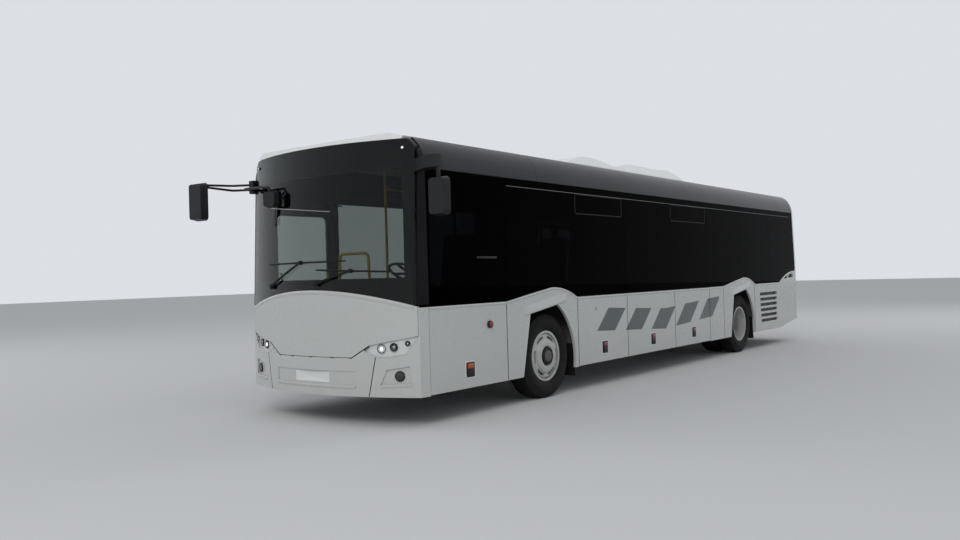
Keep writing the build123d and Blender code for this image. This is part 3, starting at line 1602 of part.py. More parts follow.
rail_radius = 16.0
rail_at = dash_end - 110
rail_foot = dash_top - 15
rail_reach = (-225.0, 245.0)
front_rail_top = 1755.0
post_places = ((1900.0, 430.0), (1640.0, -430.0), (5990.0, -430.0), (7480.0, -430.0))
with BuildPart() as handrails:
    for place, y in post_places:
        with Locations((station(place), y, floor_top + seat_gap)):
            Cylinder(rail_radius, 1900, align=stood)
    for y in (-430.0, 430.0):
        with BuildSketch(Plane.YZ.offset(station(8150))):
            with Locations((y, 2560)):
                Circle(rail_radius)
        extrude(amount=8150 - 1640)
    with BuildLine() as front_rail:
        FilletPolyline(
            (station(rail_at), rail_reach[0], rail_foot),
            (station(rail_at), rail_reach[0] + 20, front_rail_top),
            (station(rail_at), rail_reach[1] - 20, front_rail_top),
            (station(rail_at), rail_reach[1], rail_foot),
            radius=60,
        )
    with BuildSketch(Plane(origin=front_rail.line @ 0, z_dir=front_rail.line % 0)):
        Circle(rail_radius)
    sweep(path=front_rail.line)
finish(handrails.part, "handrails")

# Mirrors on their arms, one ahead of each front corner.
arm_radius = 13.0
arm_spread = 28.0
arm_mount = (station(corner_depth + 90), -(corner_half - 30), 2572.0)
mirror_heads = (
    ((nose_x + mirror_lead - 45.0, -(mirror_reach - 125.0), 2400.0), (250.0, 430.0), 90.0),
    ((5870.0, -590.0, 2365.0), (200.0, 180.0), 60.0),
    ((5690.0, mirror_reach - 106.0, 2240.0), (212.0, 370.0), 90.0),
)
knuckle_block = (90.0, 76.0, 150.0)
bracket_plan = ((5500.0, 1236.0), (5590.0, 1236.0), (5735.0, 1490.0), (5735.0, 1640.0), (5650.0, 1640.0))
bracket_height = 120.0
right_head, second_head, left_head = mirror_heads
with BuildPart() as mirrors:
    for place, size, depth in mirror_heads:
        with BuildSketch(Plane.YZ.offset(place[0] - depth / 2)):
            with Locations(place[1:]):
                RectangleRounded(*size, 50)
        extrude(amount=depth, taper=10)
    # Two tubes to the right head, one inboard tube to the small head, all from a block on the post.
    for lift in (-arm_spread, arm_spread):
        start = (arm_mount[0], arm_mount[1], arm_mount[2] + lift)
        with BuildLine() as arm_path:
            FilletPolyline(
                start,
                (start[0] + 130, right_head[0][1] + 60, start[2] + 5),
                (right_head[0][0], right_head[0][1], right_head[0][2] + right_head[1][1] / 2 - 30 + lift / 4),
                radius=60,
            )
        with BuildSketch(Plane(origin=arm_path.line @ 0, z_dir=arm_path.line % 0)):
            Circle(arm_radius)
        sweep(path=arm_path.line)
    with BuildLine() as inboard_path:
        FilletPolyline(
            (arm_mount[0] + 20, arm_mount[1] - 60, arm_mount[2] - arm_spread),
            (arm_mount[0] + 250, arm_mount[1] + 60, arm_mount[2] - arm_spread - 15),
            (second_head[0][0], second_head[0][1] - 40, arm_mount[2] - arm_spread - 40),
            (second_head[0][0], second_head[0][1], second_head[0][2] + second_head[1][1] / 2 - 20),
            radius=45,
        )
    with BuildSketch(Plane(origin=inboard_path.line @ 0, z_dir=inboard_path.line % 0)):
        Circle(arm_radius)
    sweep(path=inboard_path.line)
    with Locations((arm_mount[0] + 20, -(half_width + 18), arm_mount[2])):
        Box(*knuckle_block)
    # The left head hangs under a deep bracket that reaches out from its post.
    with BuildSketch(Plane.XY.offset(left_head[0][2] + left_head[1][1] / 2 + 90)):
        with BuildLine():
            Polyline(list(bracket_plan), close=True)
        make_face()
    extrude(amount=bracket_height)
    with Locations((left_head[0][0], left_head[0][1], left_head[0][2] + left_head[1][1] / 2 - 20)):
        Cylinder(arm_radius + 6, 130, align=stood)
    add(posts.part, mode=Mode.SUBTRACT)
# The tubes' ends that the post's cut leaves loose inside it are dropped.
mirror_bodies = mirrors.part.solids().sort_by(SortBy.VOLUME)[-2:]
finish(Part() + mirror_bodies, "mirrors")

# Wipers: a boss on the glass, an arm and a blade that follow the screen's curve.
wiper_table = (
    ((-680.0, 1420.0), (-130.0, 1662.0), (490.0, 1664.0)),
    ((120.0, 1440.0), (560.0, 1560.0), (1010.0, 1540.0)),
)
boss_height_out = 34.0
arm_out = 26.0
blade_half = 8.0
blade_gap = 1.6


def screen_point(y, z, out):
    # A place ahead of the windscreen's outer face, from its place in the front view.
    return (nose_x + (out - nose_drop(y)) / lean.Z + lean.X * (z - screen_low) / lean.Z, y, z)


def along_screen(start, end, out):
    half_way = ((start[0] + end[0]) / 2, (start[1] + end[1]) / 2)
    return ThreePointArc(*[screen_point(*place, out) for place in (start, half_way, end)])


with BuildPart() as wipers:
    for pivot, head, tip in wiper_table:
        heel = (2 * head[0] - tip[0], 2 * head[1] - tip[1])
        with BuildLine() as arm_line:
            along_screen(pivot, head, arm_out)
        with BuildLine() as blade_line:
            along_screen(heel, tip, blade_gap + blade_half)
        for path, width, height in ((arm_line, 22, 8), (blade_line, 2 * blade_half, 2 * blade_half)):
            with BuildSketch(Plane(origin=path.line @ 0, x_dir=(1, 0, 0), z_dir=path.line % 0)):
                Rectangle(height, width)
            sweep(path=path.line)
        for place in (pivot, head):
            turn = nose_drop(place[0] + 1) - nose_drop(place[0])
            facing = Vector(1, turn, screen_lean / (screen_top - belt_height))
            with Locations(Plane(origin=screen_point(*place, curve_gap), z_dir=facing)):
                Cylinder(22, boss_height_out, align=stood)
finish(wipers.part, "wipers")
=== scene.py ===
import math

import bmesh
import bpy
import numpy as np
from mathutils import Matrix, Vector


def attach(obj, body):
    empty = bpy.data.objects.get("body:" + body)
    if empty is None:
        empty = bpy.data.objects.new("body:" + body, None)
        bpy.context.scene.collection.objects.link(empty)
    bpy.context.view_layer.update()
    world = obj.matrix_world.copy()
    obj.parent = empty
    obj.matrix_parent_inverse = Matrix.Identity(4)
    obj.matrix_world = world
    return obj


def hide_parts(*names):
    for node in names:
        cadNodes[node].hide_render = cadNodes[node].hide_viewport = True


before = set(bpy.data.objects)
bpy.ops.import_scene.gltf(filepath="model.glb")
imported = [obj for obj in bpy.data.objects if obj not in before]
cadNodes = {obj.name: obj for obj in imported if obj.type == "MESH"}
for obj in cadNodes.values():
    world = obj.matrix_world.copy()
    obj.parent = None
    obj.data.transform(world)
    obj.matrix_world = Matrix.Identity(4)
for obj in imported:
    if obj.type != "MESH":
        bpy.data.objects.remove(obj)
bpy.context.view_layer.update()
scene = bpy.context.scene
print("stage: frame loaded,", len(cadNodes), "nodes")


def arcRadius(halfChord, rise):
    # radius of the circle through a chord's two ends and the top of its arc
    return (halfChord**2 + rise**2) / (2 * rise)


# The bus's own sizes in metres, as the construction has them.
bus = {
    "noseX": 5.885,
    "tailX": -6.115,
    "halfWidth": 1.275,
    "noseRadius": arcRadius(1.261, 0.285),
    "tailRadius": arcRadius(1.275, 0.18),
    "screenLow": 1.192,
    "screenSlope": 0.075 / 1.67,
    "axleZ": 0.5,
}
frontAxleX, rearAxleX = axles = (3.285, -2.965)
sides = (("left", 1), ("right", -1))


def arcDepth(radius, y):
    # how far an arc seen from above has fallen back at y from its middle
    return radius - np.sqrt(radius**2 - np.asarray(y, float) ** 2)


def noseX(y, out=0.0):
    # x of the curved nose, moved out by a distance
    return bus["noseX"] + out - arcDepth(bus["noseRadius"], y)


def screenX(y, z, out=0.0):
    # the nose's arc, leaning back evenly with height above the windscreen's foot
    return noseX(y, out) - bus["screenSlope"] * (np.asarray(z, float) - bus["screenLow"])


def noseNormal(y):
    # the nose's outward direction in plan: away from the centre of its arc
    direction = np.array((math.sqrt(bus["noseRadius"] ** 2 - y**2), y, 0.0))
    return direction / np.linalg.norm(direction)


# Shapes: each returns its points and faces, to be put together into one piece.
def gridShape(points, wrapRows=False, wrapColumns=False):
    # a grid of rows and columns of points, joined by one four-sided face between neighbours
    rows, columns = points.shape[:2]
    lastRow = rows if wrapRows else rows - 1
    lastColumn = columns if wrapColumns else columns - 1
    r, c = np.meshgrid(np.arange(lastRow), np.arange(lastColumn), indexing="ij")
    rNext, cNext = (r + 1) % rows, (c + 1) % columns
    corners = ((r, c), (r, cNext), (rNext, cNext), (rNext, c))
    faces = np.stack([row * columns + column for row, column in corners], -1)
    return points.reshape(-1, 3), faces.reshape(-1, 4).tolist()


def loftShape(rings):
    # closed rings one above another; each end is capped by a fan from the ring's middle point
    count, size = rings.shape[:2]
    points, faces = gridShape(rings, wrapColumns=True)
    for ring in (0, count - 1):
        middle = np.full(size, len(points))
        points = np.vstack([points, rings[ring].mean(0)])
        near = np.arange(size) + ring * size
        far = np.roll(near, -1)
        faces = faces + np.stack([middle, near, far] if ring else [middle, far, near], -1).tolist()
    return points, faces


def roundRect(halfU, halfV, radius, corner=5):
    # a rectangle's outline with quarter circles of one radius at its corners
    radius = min(radius, halfU * 0.999, halfV * 0.999)
    turn = np.linspace(0, math.pi / 2, corner)
    arcs = []
    for n, (su, sv) in enumerate(((1, 1), (-1, 1), (-1, -1), (1, -1))):
        a = turn + n * math.pi / 2
        u = su * (halfU - radius) + radius * np.cos(a)
        v = sv * (halfV - radius) + radius * np.sin(a)
        arcs.append(np.stack([u, v], -1))
    return np.concatenate(arcs)


def axesFor(facing, up=(0, 0, 1)):
    # three directions at right angles: across, up and facing
    w = np.array(Vector(facing).normalized())
    u = np.array(Vector(up).cross(Vector(facing)).normalized())
    return u, np.cross(w, u), w


def flatRings(at, facing, outlines, up=(0, 0, 1)):
    # flat outlines, each with its height along the facing direction
    u, v, w = axesFor(facing, up)
    rings = [np.array(at) + flat[:, :1] * u + flat[:, 1:] * v + height * w for flat, height in outlines]
    return np.array(rings)


def pillowShape(at, facing, halfU, halfV, radius, layers, up=(0, 0, 1), corner=5):
    # rounded rectangles stacked along the facing direction; each layer has an inset and a height
    outlines = []
    for inset, height in layers:
        halves = max(halfU - inset, 1e-4), max(halfV - inset, 1e-4)
        outlines.append((roundRect(*halves, max(radius - inset, radius * 0.15), corner), height))
    return loftShape(flatRings(at, facing, outlines, up))


def frameShape(at, facing, outlines):
    # a closed frame: its outlines go up on the outside and down again on the inside
    return gridShape(flatRings(at, facing, outlines), wrapRows=True, wrapColumns=True)


def turnedShape(at, facing, profile, count=32, closed=False, up=(0, 0, 1)):
    # a profile of radius and height turned about the facing direction
    u, v, w = axesFor(facing, up)
    a = np.linspace(0, 2 * math.pi, count, endpoint=False)
    ringDirection = np.cos(a)[:, None] * u + np.sin(a)[:, None] * v
    profile = np.array(profile, float)
    rings = np.array(at) + profile[:, 0, None, None] * ringDirection + profile[:, 1, None, None] * w
    if closed:
        return gridShape(rings, wrapRows=True, wrapColumns=True)
    return loftShape(rings)


def tubeShape(path, radius, count=12, reference=(0, 0, 1)):
    # a circle carried along a path square to its direction
    path = np.array(path, float)
    along = np.gradient(path, axis=0)
    along /= np.linalg.norm(along, axis=1, keepdims=True)
    side = np.cross(along, np.array(reference, float))
    side /= np.linalg.norm(side, axis=1, keepdims=True)
    rise = np.cross(side, along)
    a = np.linspace(0, 2 * math.pi, count, endpoint=False)
    radii = np.broadcast_to(np.asarray(radius, float), (len(path),))[:, None, None]
    circle = np.cos(a)[:, None] * side[:, None] + np.sin(a)[:, None] * rise[:, None]
    return loftShape(path[:, None] + radii * circle)


def roundedPath(corners, radius, steps=6):
    # straight runs whose corners are replaced by quadratic curves that start one radius away
    corners = np.array(corners, float)
    parts = [corners[:1]]
    t = np.linspace(0, 1, steps)[:, None]
    for before, here, after in zip(corners[:-2], corners[1:-1], corners[2:]):
        a, b = before - here, after - here
        start = here + a / np.linalg.norm(a) * min(radius, np.linalg.norm(a) / 2)
        end = here + b / np.linalg.norm(b) * min(radius, np.linalg.norm(b) / 2)
        parts.append((1 - t) ** 2 * start + 2 * t * (1 - t) * here + t**2 * end)
    parts.append(corners[-1:])
    return np.concatenate(parts)


# Shader groups and finishes.
def addNode(tree, kind, settings=None, **inputs):
    # a node with its own settings, and each input, by name or by i and its number, linked or given a value
    node = tree.nodes.new(kind)
    for key, value in (settings or {}).items():
        setattr(node, key, value)
    for key, value in inputs.items():
        socket = node.inputs[int(key[1:])] if key[1:].isdigit() else node.inputs[key]
        if isinstance(value, bpy.types.NodeSocket):
            tree.links.new(value, socket)
        else:
            socket.default_value = value
    return node


def addMath(tree, operation, a, b=0.0, clamp=False):
    return addNode(tree, "ShaderNodeMath", {"operation": operation, "use_clamp": clamp}, i0=a, i1=b).outputs[0]


def addProduct(tree, *factors):
    product = factors[0]
    for factor in factors[1:]:
        product = addMath(tree, "MULTIPLY", product, factor)
    return product


def addRange(tree, value, low, high, toLow=0.0, toHigh=1.0):
    limits = {"i1": low, "i2": high, "i3": toLow, "i4": toHigh}
    settings = {"interpolation_type": "SMOOTHSTEP"}
    return addNode(tree, "ShaderNodeMapRange", settings, i0=value, **limits).outputs[0]


def addNoise(tree, vector, scale, detail, roughness=0.5):
    inputs = {"Vector": vector, "Scale": scale, "Detail": detail, "Roughness": roughness}
    return addNode(tree, "ShaderNodeTexNoise", **inputs).outputs[0]


def mixNumber(tree, factor, first, second):
    return addNode(tree, "ShaderNodeMix", {"data_type": "FLOAT"}, i0=factor, i2=first, i3=second).outputs[0]


def mixColour(tree, factor, first, second):
    ends = [value if isinstance(value, bpy.types.NodeSocket) else (*value, 1.0) for value in (first, second)]
    return addNode(tree, "ShaderNodeMix", {"data_type": "RGBA"}, i0=factor, i6=ends[0], i7=ends[1]).outputs[2]


def splitPlace(tree, place):
    return addNode(tree, "ShaderNodeSeparateXYZ", i0=place).outputs


def newGroup(name, numbers, outputs):
    # a group that takes a vector and numbers with their defaults, and puts out numbers
    group = bpy.data.node_groups.new(name, "ShaderNodeTree")
    group.interface.new_socket("Vector", in_out="INPUT", socket_type="NodeSocketVector")
    for label, value in numbers.items():
        group.interface.new_socket(label, in_out="INPUT", socket_type="NodeSocketFloat").default_value = value
    for label in outputs:
        group.interface.new_socket(label, in_out="OUTPUT", socket_type="NodeSocketFloat")
    groups[name] = group
    return group, group.nodes.new("NodeGroupInput").outputs, group.nodes.new("NodeGroupOutput").inputs


def buildMottle():
    # cloudy change over the surface: two sizes of noise, added by weight
    group, given, result = newGroup("mottle", {"Scale": 3.0, "Low": 0.4, "High": 0.7}, ("Mask", "Fine"))
    broad = addNoise(group, given["Vector"], given["Scale"], 4.0)
    fine = addNoise(group, given["Vector"], addMath(group, "MULTIPLY", given["Scale"], 9.0), 5.0, 0.65)
    shares = addMath(group, "MULTIPLY", broad, 0.62), addMath(group, "MULTIPLY", fine, 0.38)
    mixed = addMath(group, "ADD", *shares)
    group.links.new(addRange(group, mixed, given["Low"], given["High"]), result["Mask"])
    group.links.new(fine, result["Fine"])


def buildRoadFilm():
    # dirt thrown up from the road: strongest at the foot, gone at Top, broken by noise drawn out along the bus
    group, given, result = newGroup("roadFilm", {"Top": 1.0, "Strength": 0.5}, ("Mask",))
    foot = addRange(group, splitPlace(group, given["Vector"])[2], given["Top"], 0.15)
    drawn = addNode(group, "ShaderNodeMapping", i0=given["Vector"], i3=(1.2, 2.0, 5.0)).outputs[0]
    cloud = addRange(group, addNoise(group, drawn, 2.4, 6.0, 0.6), 0.3, 0.75, 0.25, 1.0)
    speck = addRange(group, addNoise(group, given["Vector"], 160.0, 2.0), 0.6, 0.8, 0.0, 0.2)
    broken = addMath(group, "MULTIPLY", foot, addMath(group, "ADD", cloud, speck))
    group.links.new(addMath(group, "MULTIPLY", broken, given["Strength"], clamp=True), result["Mask"])


def buildGrain():
    # fine relief of moulded or sprayed surfaces: cells for leather grain mixed with noise for orange peel
    group, given, result = newGroup("grain", {"Scale": 200.0, "Cells": 0.5}, ("Height",))
    place, scale = given["Vector"], given["Scale"]
    noise = addNoise(group, place, scale, 3.0)
    cells = addNode(group, "ShaderNodeTexVoronoi", Vector=place, Scale=scale).outputs["Distance"]
    group.links.new(mixNumber(group, given["Cells"], noise, cells), result["Height"])


def buildWeave():
    # crossed threads: two families of sine ribs that lean with height, multiplied together
    group, given, result = newGroup("weave", {"Scale": 400.0}, ("Height",))
    x, y, z = splitPlace(group, given["Vector"])
    waves = []
    for flat, lean in ((x, 0.37), (y, 0.93)):
        run = addMath(group, "ADD", flat, addMath(group, "MULTIPLY", z, lean))
        waves.append(addMath(group, "SINE", addMath(group, "MULTIPLY", run, given["Scale"])))
    group.links.new(addMath(group, "ABSOLUTE", addMath(group, "MULTIPLY", *waves)), result["Height"])


groups, materials = {}, {}
for build in (buildMottle, buildRoadFilm, buildGrain, buildWeave):
    build()


def placeGroup(tree, name, **inputs):
    return addNode(tree, "ShaderNodeGroup", {"node_tree": groups[name]}, **inputs).outputs


plainSockets = {
    "metallic": "Metallic", "coat": "Coat Weight", "specular": "Specular IOR Level", "sheen": "Sheen Weight",
    "transmission": "Transmission Weight", "ior": "IOR", "glow": "Emission Strength",
}
filmColour, filmRough, coatRough, glowColour = (0.23, 0.205, 0.175), 0.85, 0.04, (1.0, 0.97, 0.9, 1.0)


def makeFinish(name, colour, second, rough, **settings):
    # base colour drifting to a second one, road film at the foot, roughness from the same masks,
    # and fine grain or weave as bump
    material = materials[name] = bpy.data.materials.new(name)
    material.use_nodes = True
    tree = material.node_tree
    shader = tree.nodes["Principled BSDF"].inputs
    place = tree.nodes.new("ShaderNodeTexCoord").outputs["Object"]
    s = {"drift": 0.5, "scale": 3.0, "grain": 300.0, "cells": 0.3, "bump": 0.1, "depth": 0.0006, **settings}
    mottle = placeGroup(tree, "mottle", Vector=place, Scale=s["scale"])
    base = mixColour(tree, addMath(tree, "MULTIPLY", mottle["Mask"], s["drift"]), colour, second)
    if "pattern" in s:
        base = s["pattern"](tree, place, base)
    roughness = addRange(tree, mottle["Fine"], 0.25, 0.75, *rough)
    if "film" in s:
        filmTop, strength = s["film"]
        film = placeGroup(tree, "roadFilm", Vector=place, Top=filmTop, Strength=strength)["Mask"]
        base = mixColour(tree, film, base, filmColour)
        roughness = mixNumber(tree, film, roughness, filmRough)
    if "weave" in s:
        height = placeGroup(tree, "weave", Vector=place, Scale=s["weave"])["Height"]
    else:
        height = placeGroup(tree, "grain", Vector=place, Scale=s["grain"], Cells=s["cells"])["Height"]
    bump = addNode(tree, "ShaderNodeBump", Strength=s["bump"], Distance=s["depth"], Height=height).outputs[0]
    for label, socket in (("Base Color", base), ("Roughness", roughness), ("Normal", bump)):
        tree.links.new(socket, shader[label])
    shader["Coat Roughness"].default_value = coatRough
    for key, label in plainSockets.items():
        if key in s:
            shader[label].default_value = s[key]
    if "glow" in s:
        shader["Emission Color"].default_value = glowColour


bands = {
    "start": 2.2, "end": -1.9, "low": 0.62, "height": 0.30, "pitch": 0.82, "width": 0.5, "slant": 1.1,
    "rise": 0.05, "colour": (0.062, 0.078, 0.084),
}


def sideBandPattern(tree, place, colour):
    # plain slanted grey bands over the left luggage flaps: a repeat along x that leans with height
    x, y, z = splitPlace(tree, place)
    leaned = addMath(tree, "ADD", x, addMath(tree, "MULTIPLY", z, bands["slant"]))
    phase = addMath(tree, "FRACT", addMath(tree, "DIVIDE", leaned, bands["pitch"]))
    away = addMath(tree, "ABSOLUTE", addMath(tree, "SUBTRACT", x, (bands["start"] + bands["end"]) / 2))
    rise = addMath(tree, "MULTIPLY", away, bands["rise"])
    mask = addProduct(
        tree,
        addMath(tree, "LESS_THAN", phase, bands["width"] / bands["pitch"]),
        addMath(tree, "GREATER_THAN", z, addMath(tree, "ADD", rise, bands["low"])),
        addMath(tree, "LESS_THAN", z, addMath(tree, "ADD", rise, bands["low"] + bands["height"])),
        addMath(tree, "LESS_THAN", x, bands["start"]),
        addMath(tree, "GREATER_THAN", x, bands["end"]),
        addMath(tree, "GREATER_THAN", y, 1.0),
    )
    return mixColour(tree, mask, colour, bands["colour"])


def cellColours(tree, cells):
    # the random colour of each cell, split in three numbers
    return addNode(tree, "ShaderNodeSeparateColor", i0=cells["Color"]).outputs


def seatPattern(tree, place, colour):
    # a plain contract cloth: small squares of a lighter blue over the ground
    squares = {"Vector": place, "Scale": 42.0, "Randomness": 0.55}
    cells = addNode(tree, "ShaderNodeTexVoronoi", {"distance": "CHEBYCHEV"}, **squares).outputs
    near = addMath(tree, "LESS_THAN", cells["Distance"], 0.24)
    chosen = addMath(tree, "GREATER_THAN", cellColours(tree, cells)[0], 0.55)
    return mixColour(tree, addMath(tree, "MULTIPLY", near, chosen), colour, (0.12, 0.2, 0.42))


def floorPattern(tree, place, colour):
    # chips of lighter and darker vinyl set in the covering
    cells = addNode(tree, "ShaderNodeTexVoronoi", Vector=place, Scale=260.0).outputs
    chances = cellColours(tree, cells)
    for chance, chip in ((chances[0], (0.42, 0.44, 0.46)), (chances[1], (0.03, 0.035, 0.04))):
        colour = mixColour(tree, addMath(tree, "GREATER_THAN", chance, 0.86), colour, chip)
    return colour


def clearPanePattern(tree, place, colour):
    # the panes on the door side near the front are only lightly tinted; the rest keep the dark tint
    x, y, z = splitPlace(tree, place)
    rightSide, ahead = addMath(tree, "LESS_THAN", y, -1.0), addMath(tree, "GREATER_THAN", x, 1.36)
    return mixColour(tree, addMath(tree, "MULTIPLY", rightSide, ahead), colour, (0.26, 0.28, 0.27))


paint = {"coat": 0.4, "scale": 0.8, "grain": 420.0, "cells": 0.0, "bump": 0.02}
white = ((0.515, 0.526, 0.508), (0.495, 0.505, 0.487), (0.24, 0.30))
glass = {"transmission": 1.0, "cells": 0.0, "bump": 0.001, "grain": 6.0}
lens = {"bump": 0.3, "cells": 1.0, "grain": 240.0}
makeFinish("bodyWhite", *white, **paint, film=(0.9, 0.14))
makeFinish("bodyWhiteBands", *white, **paint, film=(0.9, 0.14), pattern=sideBandPattern)
makeFinish("roofWhite", (0.83, 0.84, 0.835), (0.76, 0.77, 0.76), (0.3, 0.5), **paint, drift=0.8)
makeFinish(
    "blackGloss", (0.005, 0.005, 0.006), (0.009, 0.009, 0.010), (0.08, 0.16), specular=0.1, cells=0.0,
    bump=0.012, grain=380.0, film=(1.9, 0.04),
)
makeFinish(
    "coveGloss", (0.018, 0.020, 0.023), (0.028, 0.030, 0.034), (0.16, 0.26), specular=0.22, scale=1.4,
    cells=0.0, bump=0.02,
)
makeFinish(
    "sideGlass", (0.009, 0.0095, 0.012), (0.006, 0.0065, 0.009), (0.0, 0.0), **glass, ior=1.045,
    pattern=clearPanePattern,
)
makeFinish("doorGlass", (0.36, 0.385, 0.375), (0.31, 0.335, 0.325), (0.0, 0.0), **glass, ior=1.3)
screen = {**glass, "grain": 5.0, "ior": 1.24}
makeFinish("screenGlass", (0.49, 0.53, 0.51), (0.45, 0.49, 0.47), (0.0, 0.0), **screen)
makeFinish(
    "chassisPaint", (0.035, 0.036, 0.038), (0.09, 0.085, 0.08), (0.45, 0.7), bump=0.25, cells=0.2,
    film=(1.3, 0.75),
)
makeFinish(
    "frameSteel", (0.18, 0.185, 0.19), (0.26, 0.26, 0.255), (0.4, 0.6), metallic=0.35, bump=0.15,
    film=(1.1, 0.5),
)
makeFinish(
    "wheelWhite", (0.52, 0.53, 0.525), (0.36, 0.345, 0.32), (0.35, 0.6), coat=0.1, scale=9.0, bump=0.12,
    film=(1.2, 0.45),
)
makeFinish(
    "tyreRubber", (0.006, 0.006, 0.0065), (0.011, 0.0105, 0.010), (0.6, 0.88), specular=0.2, scale=12.0,
    bump=0.3, grain=520.0, film=(1.2, 0.05),
)
makeFinish(
    "blackPlastic", (0.010, 0.010, 0.011), (0.018, 0.018, 0.019), (0.38, 0.55), specular=0.3, bump=0.35,
    cells=0.8, grain=900.0,
)
makeFinish(
    "greyPlastic", (0.16, 0.165, 0.17), (0.2, 0.205, 0.21), (0.42, 0.6), bump=0.35, cells=0.8, grain=800.0
)
makeFinish("floorVinyl", (0.16, 0.17, 0.185), (0.12, 0.125, 0.135), (0.4, 0.6), bump=0.2, pattern=floorPattern)
makeFinish(
    "seatCloth", (0.022, 0.04, 0.105), (0.035, 0.055, 0.12), (0.75, 0.95), sheen=0.35, weave=1900.0, bump=0.5,
    depth=0.0008, pattern=seatPattern,
)
makeFinish("railYellow", (0.78, 0.56, 0.03), (0.66, 0.45, 0.03), (0.25, 0.4), coat=0.3, bump=0.08)
# The lamp pods are the body's white paint made lighter: painted light standing in for the extra light the pods
# catch compared with the panels round them.
makeFinish(
    "lampStripPaintedLight", (0.66, 0.672, 0.655), (0.61, 0.622, 0.605), (0.16, 0.28), coat=0.6, cells=0.0, bump=0.05,
    grain=240.0,
)
makeFinish(
    "fogLens", (0.012, 0.012, 0.013), (0.03, 0.03, 0.032), (0.12, 0.22), coat=0.5, cells=1.0, bump=0.8,
    grain=150.0, depth=0.002,
)
makeFinish("lampShell", (0.62, 0.63, 0.64), (0.5, 0.51, 0.52), (0.12, 0.24), metallic=0.75, bump=0.04)
makeFinish(
    "lampGlass", (0.9, 0.92, 0.93), (0.84, 0.86, 0.87), (0.0, 0.05), transmission=1.0, bump=0.05, grain=60.0,
    depth=0.001,
)
makeFinish("lampGlow", (0.9, 0.9, 0.88), (0.8, 0.8, 0.78), (0.2, 0.3), bump=0.05, glow=1.1)
makeFinish("dullRedLens", (0.17, 0.016, 0.02), (0.12, 0.012, 0.015), (0.12, 0.25), **lens, coat=0.3)
makeFinish("dullAmberLens", (0.46, 0.075, 0.018), (0.36, 0.055, 0.014), (0.12, 0.25), **lens, coat=0.3)
makeFinish("redLens", (0.42, 0.012, 0.012), (0.3, 0.01, 0.01), (0.08, 0.2), **lens, coat=0.5)
makeFinish("amberLens", (0.75, 0.22, 0.02), (0.6, 0.16, 0.02), (0.08, 0.2), **lens, coat=0.5)
makeFinish("mirrorGlass", (0.75, 0.77, 0.78), (0.7, 0.72, 0.73), (0.01, 0.04), metallic=1.0, bump=0.01)
makeFinish("bareSteel", (0.42, 0.42, 0.41), (0.3, 0.27, 0.24), (0.3, 0.5), metallic=0.85, scale=20.0, bump=0.15)
makeFinish("rubberSeal", (0.009, 0.009, 0.0095), (0.015,) * 3, (0.5, 0.7), specular=0.2, bump=0.3, grain=600.0)
makeFinish("plateWhite", (0.72, 0.73, 0.72), (0.66, 0.67, 0.66), (0.3, 0.42), bump=0.2, cells=1.0, grain=700.0)
print("stage: finishes made,", len(materials))

# Which finish each construction node wears.
nodeFinishes = {
    "bodyWhite": "bonnet_flap bumper_corners bumper_middle right_flap tail_fascia engine_flap",
    "bodyWhiteBands": "skirts left_flap_1 left_flap_2 left_flap_3",
    "roofWhite": "roof roof_caps roof_hatches roof_unit",
    # the lamp pods wear the lighter white, which is painted light
    "lampStripPaintedLight": "front_lamps",
    "coveGloss": "coves",
    "blackGloss": "posts_and_headers",
    "sideGlass": "side_windows rear_window",
    "doorGlass": "front_door_pane middle_door_front_pane middle_door_rear_pane",
    "screenGlass": "windscreen",
    "chassisPaint": "underframe front_axle rear_axle left_knuckle right_knuckle engine wheel_housings",
    "frameSteel": "luggage_hold",
    "wheelWhite": "front_rim_left front_rim_right rear_rims_left rear_rims_right",
    "tyreRubber": "front_tyre_left front_tyre_right rear_tyres_left rear_tyres_right",
    "blackPlastic": "mirrors wipers steering_wheel dashboard window_frames front_frame front_door "
    "middle_door_front middle_door_rear front_door_arm middle_door_front_arm middle_door_rear_arm",
    "floorVinyl": "floor door_steps",
    "seatCloth": "seats",
    "railYellow": "handrails",
    "redLens": "tail_lamps",
}
undressed = set(cadNodes)
for finishName, names in nodeFinishes.items():
    for nodeName in names.split():
        worn = cadNodes[nodeName].data.materials
        worn.clear()
        worn.append(materials[finishName])
        undressed.remove(nodeName)
print("stage: nodes dressed; left out:", sorted(undressed))

# The slot a finish stands for, where it isn't black plastic.
finishSlots = {
    "bodyWhite": "body_white", "plateWhite": "body_white", "tyreRubber": "tyre", "bareSteel": "wheel_white",
    "chassisPaint": "wheel_white", "frameSteel": "frame_steel", "railYellow": "yellow_rail",
    "seatCloth": "seat_fabric", "lampShell": "lamp_housing", "lampGlow": "lamp_housing",
    "lampGlass": "lamp_housing", "redLens": "red_lamp", "amberLens": "red_lamp", "dullRedLens": "red_lamp",
    "dullAmberLens": "red_lamp",
}


def newObject(name, points, faces):
    mesh = bpy.data.meshes.new(name)
    mesh.from_pydata(points.tolist(), [], faces)
    made = bpy.data.objects.new(name, mesh)
    scene.collection.objects.link(made)
    return made, mesh


def closeSeams(mesh, near, tiny=None):
    # weld the points that meet, drop faces of no size and turn the rest outwards
    work = bmesh.new()
    work.from_mesh(mesh)
    bmesh.ops.remove_doubles(work, verts=work.verts, dist=near)
    if tiny:
        bmesh.ops.dissolve_degenerate(work, edges=work.edges, dist=tiny)
    bmesh.ops.recalc_face_normals(work, faces=work.faces)
    work.to_mesh(mesh)
    work.free()


def makePiece(name, shapes, finish, body="body", slot=None, smooth=35, weld=True):
    # join the shapes into one mesh, close its seams, and hang it on a body
    faces, offset = [], 0
    for p, f in shapes:
        faces += [[i + offset for i in face] for face in f]
        offset += len(p)
    piece, mesh = newObject(name, np.concatenate([p for p, f in shapes]), faces)
    if weld:
        closeSeams(mesh, 2e-5, 1e-6)
    mesh.polygons.foreach_set("use_smooth", np.ones(len(mesh.polygons), bool))
    mesh.set_sharp_from_angle(angle=math.radians(smooth))
    mesh.materials.append(materials[finish])
    slot = slot or finishSlots.get(finish, "black_plastic")
    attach(piece, body)
    return piece


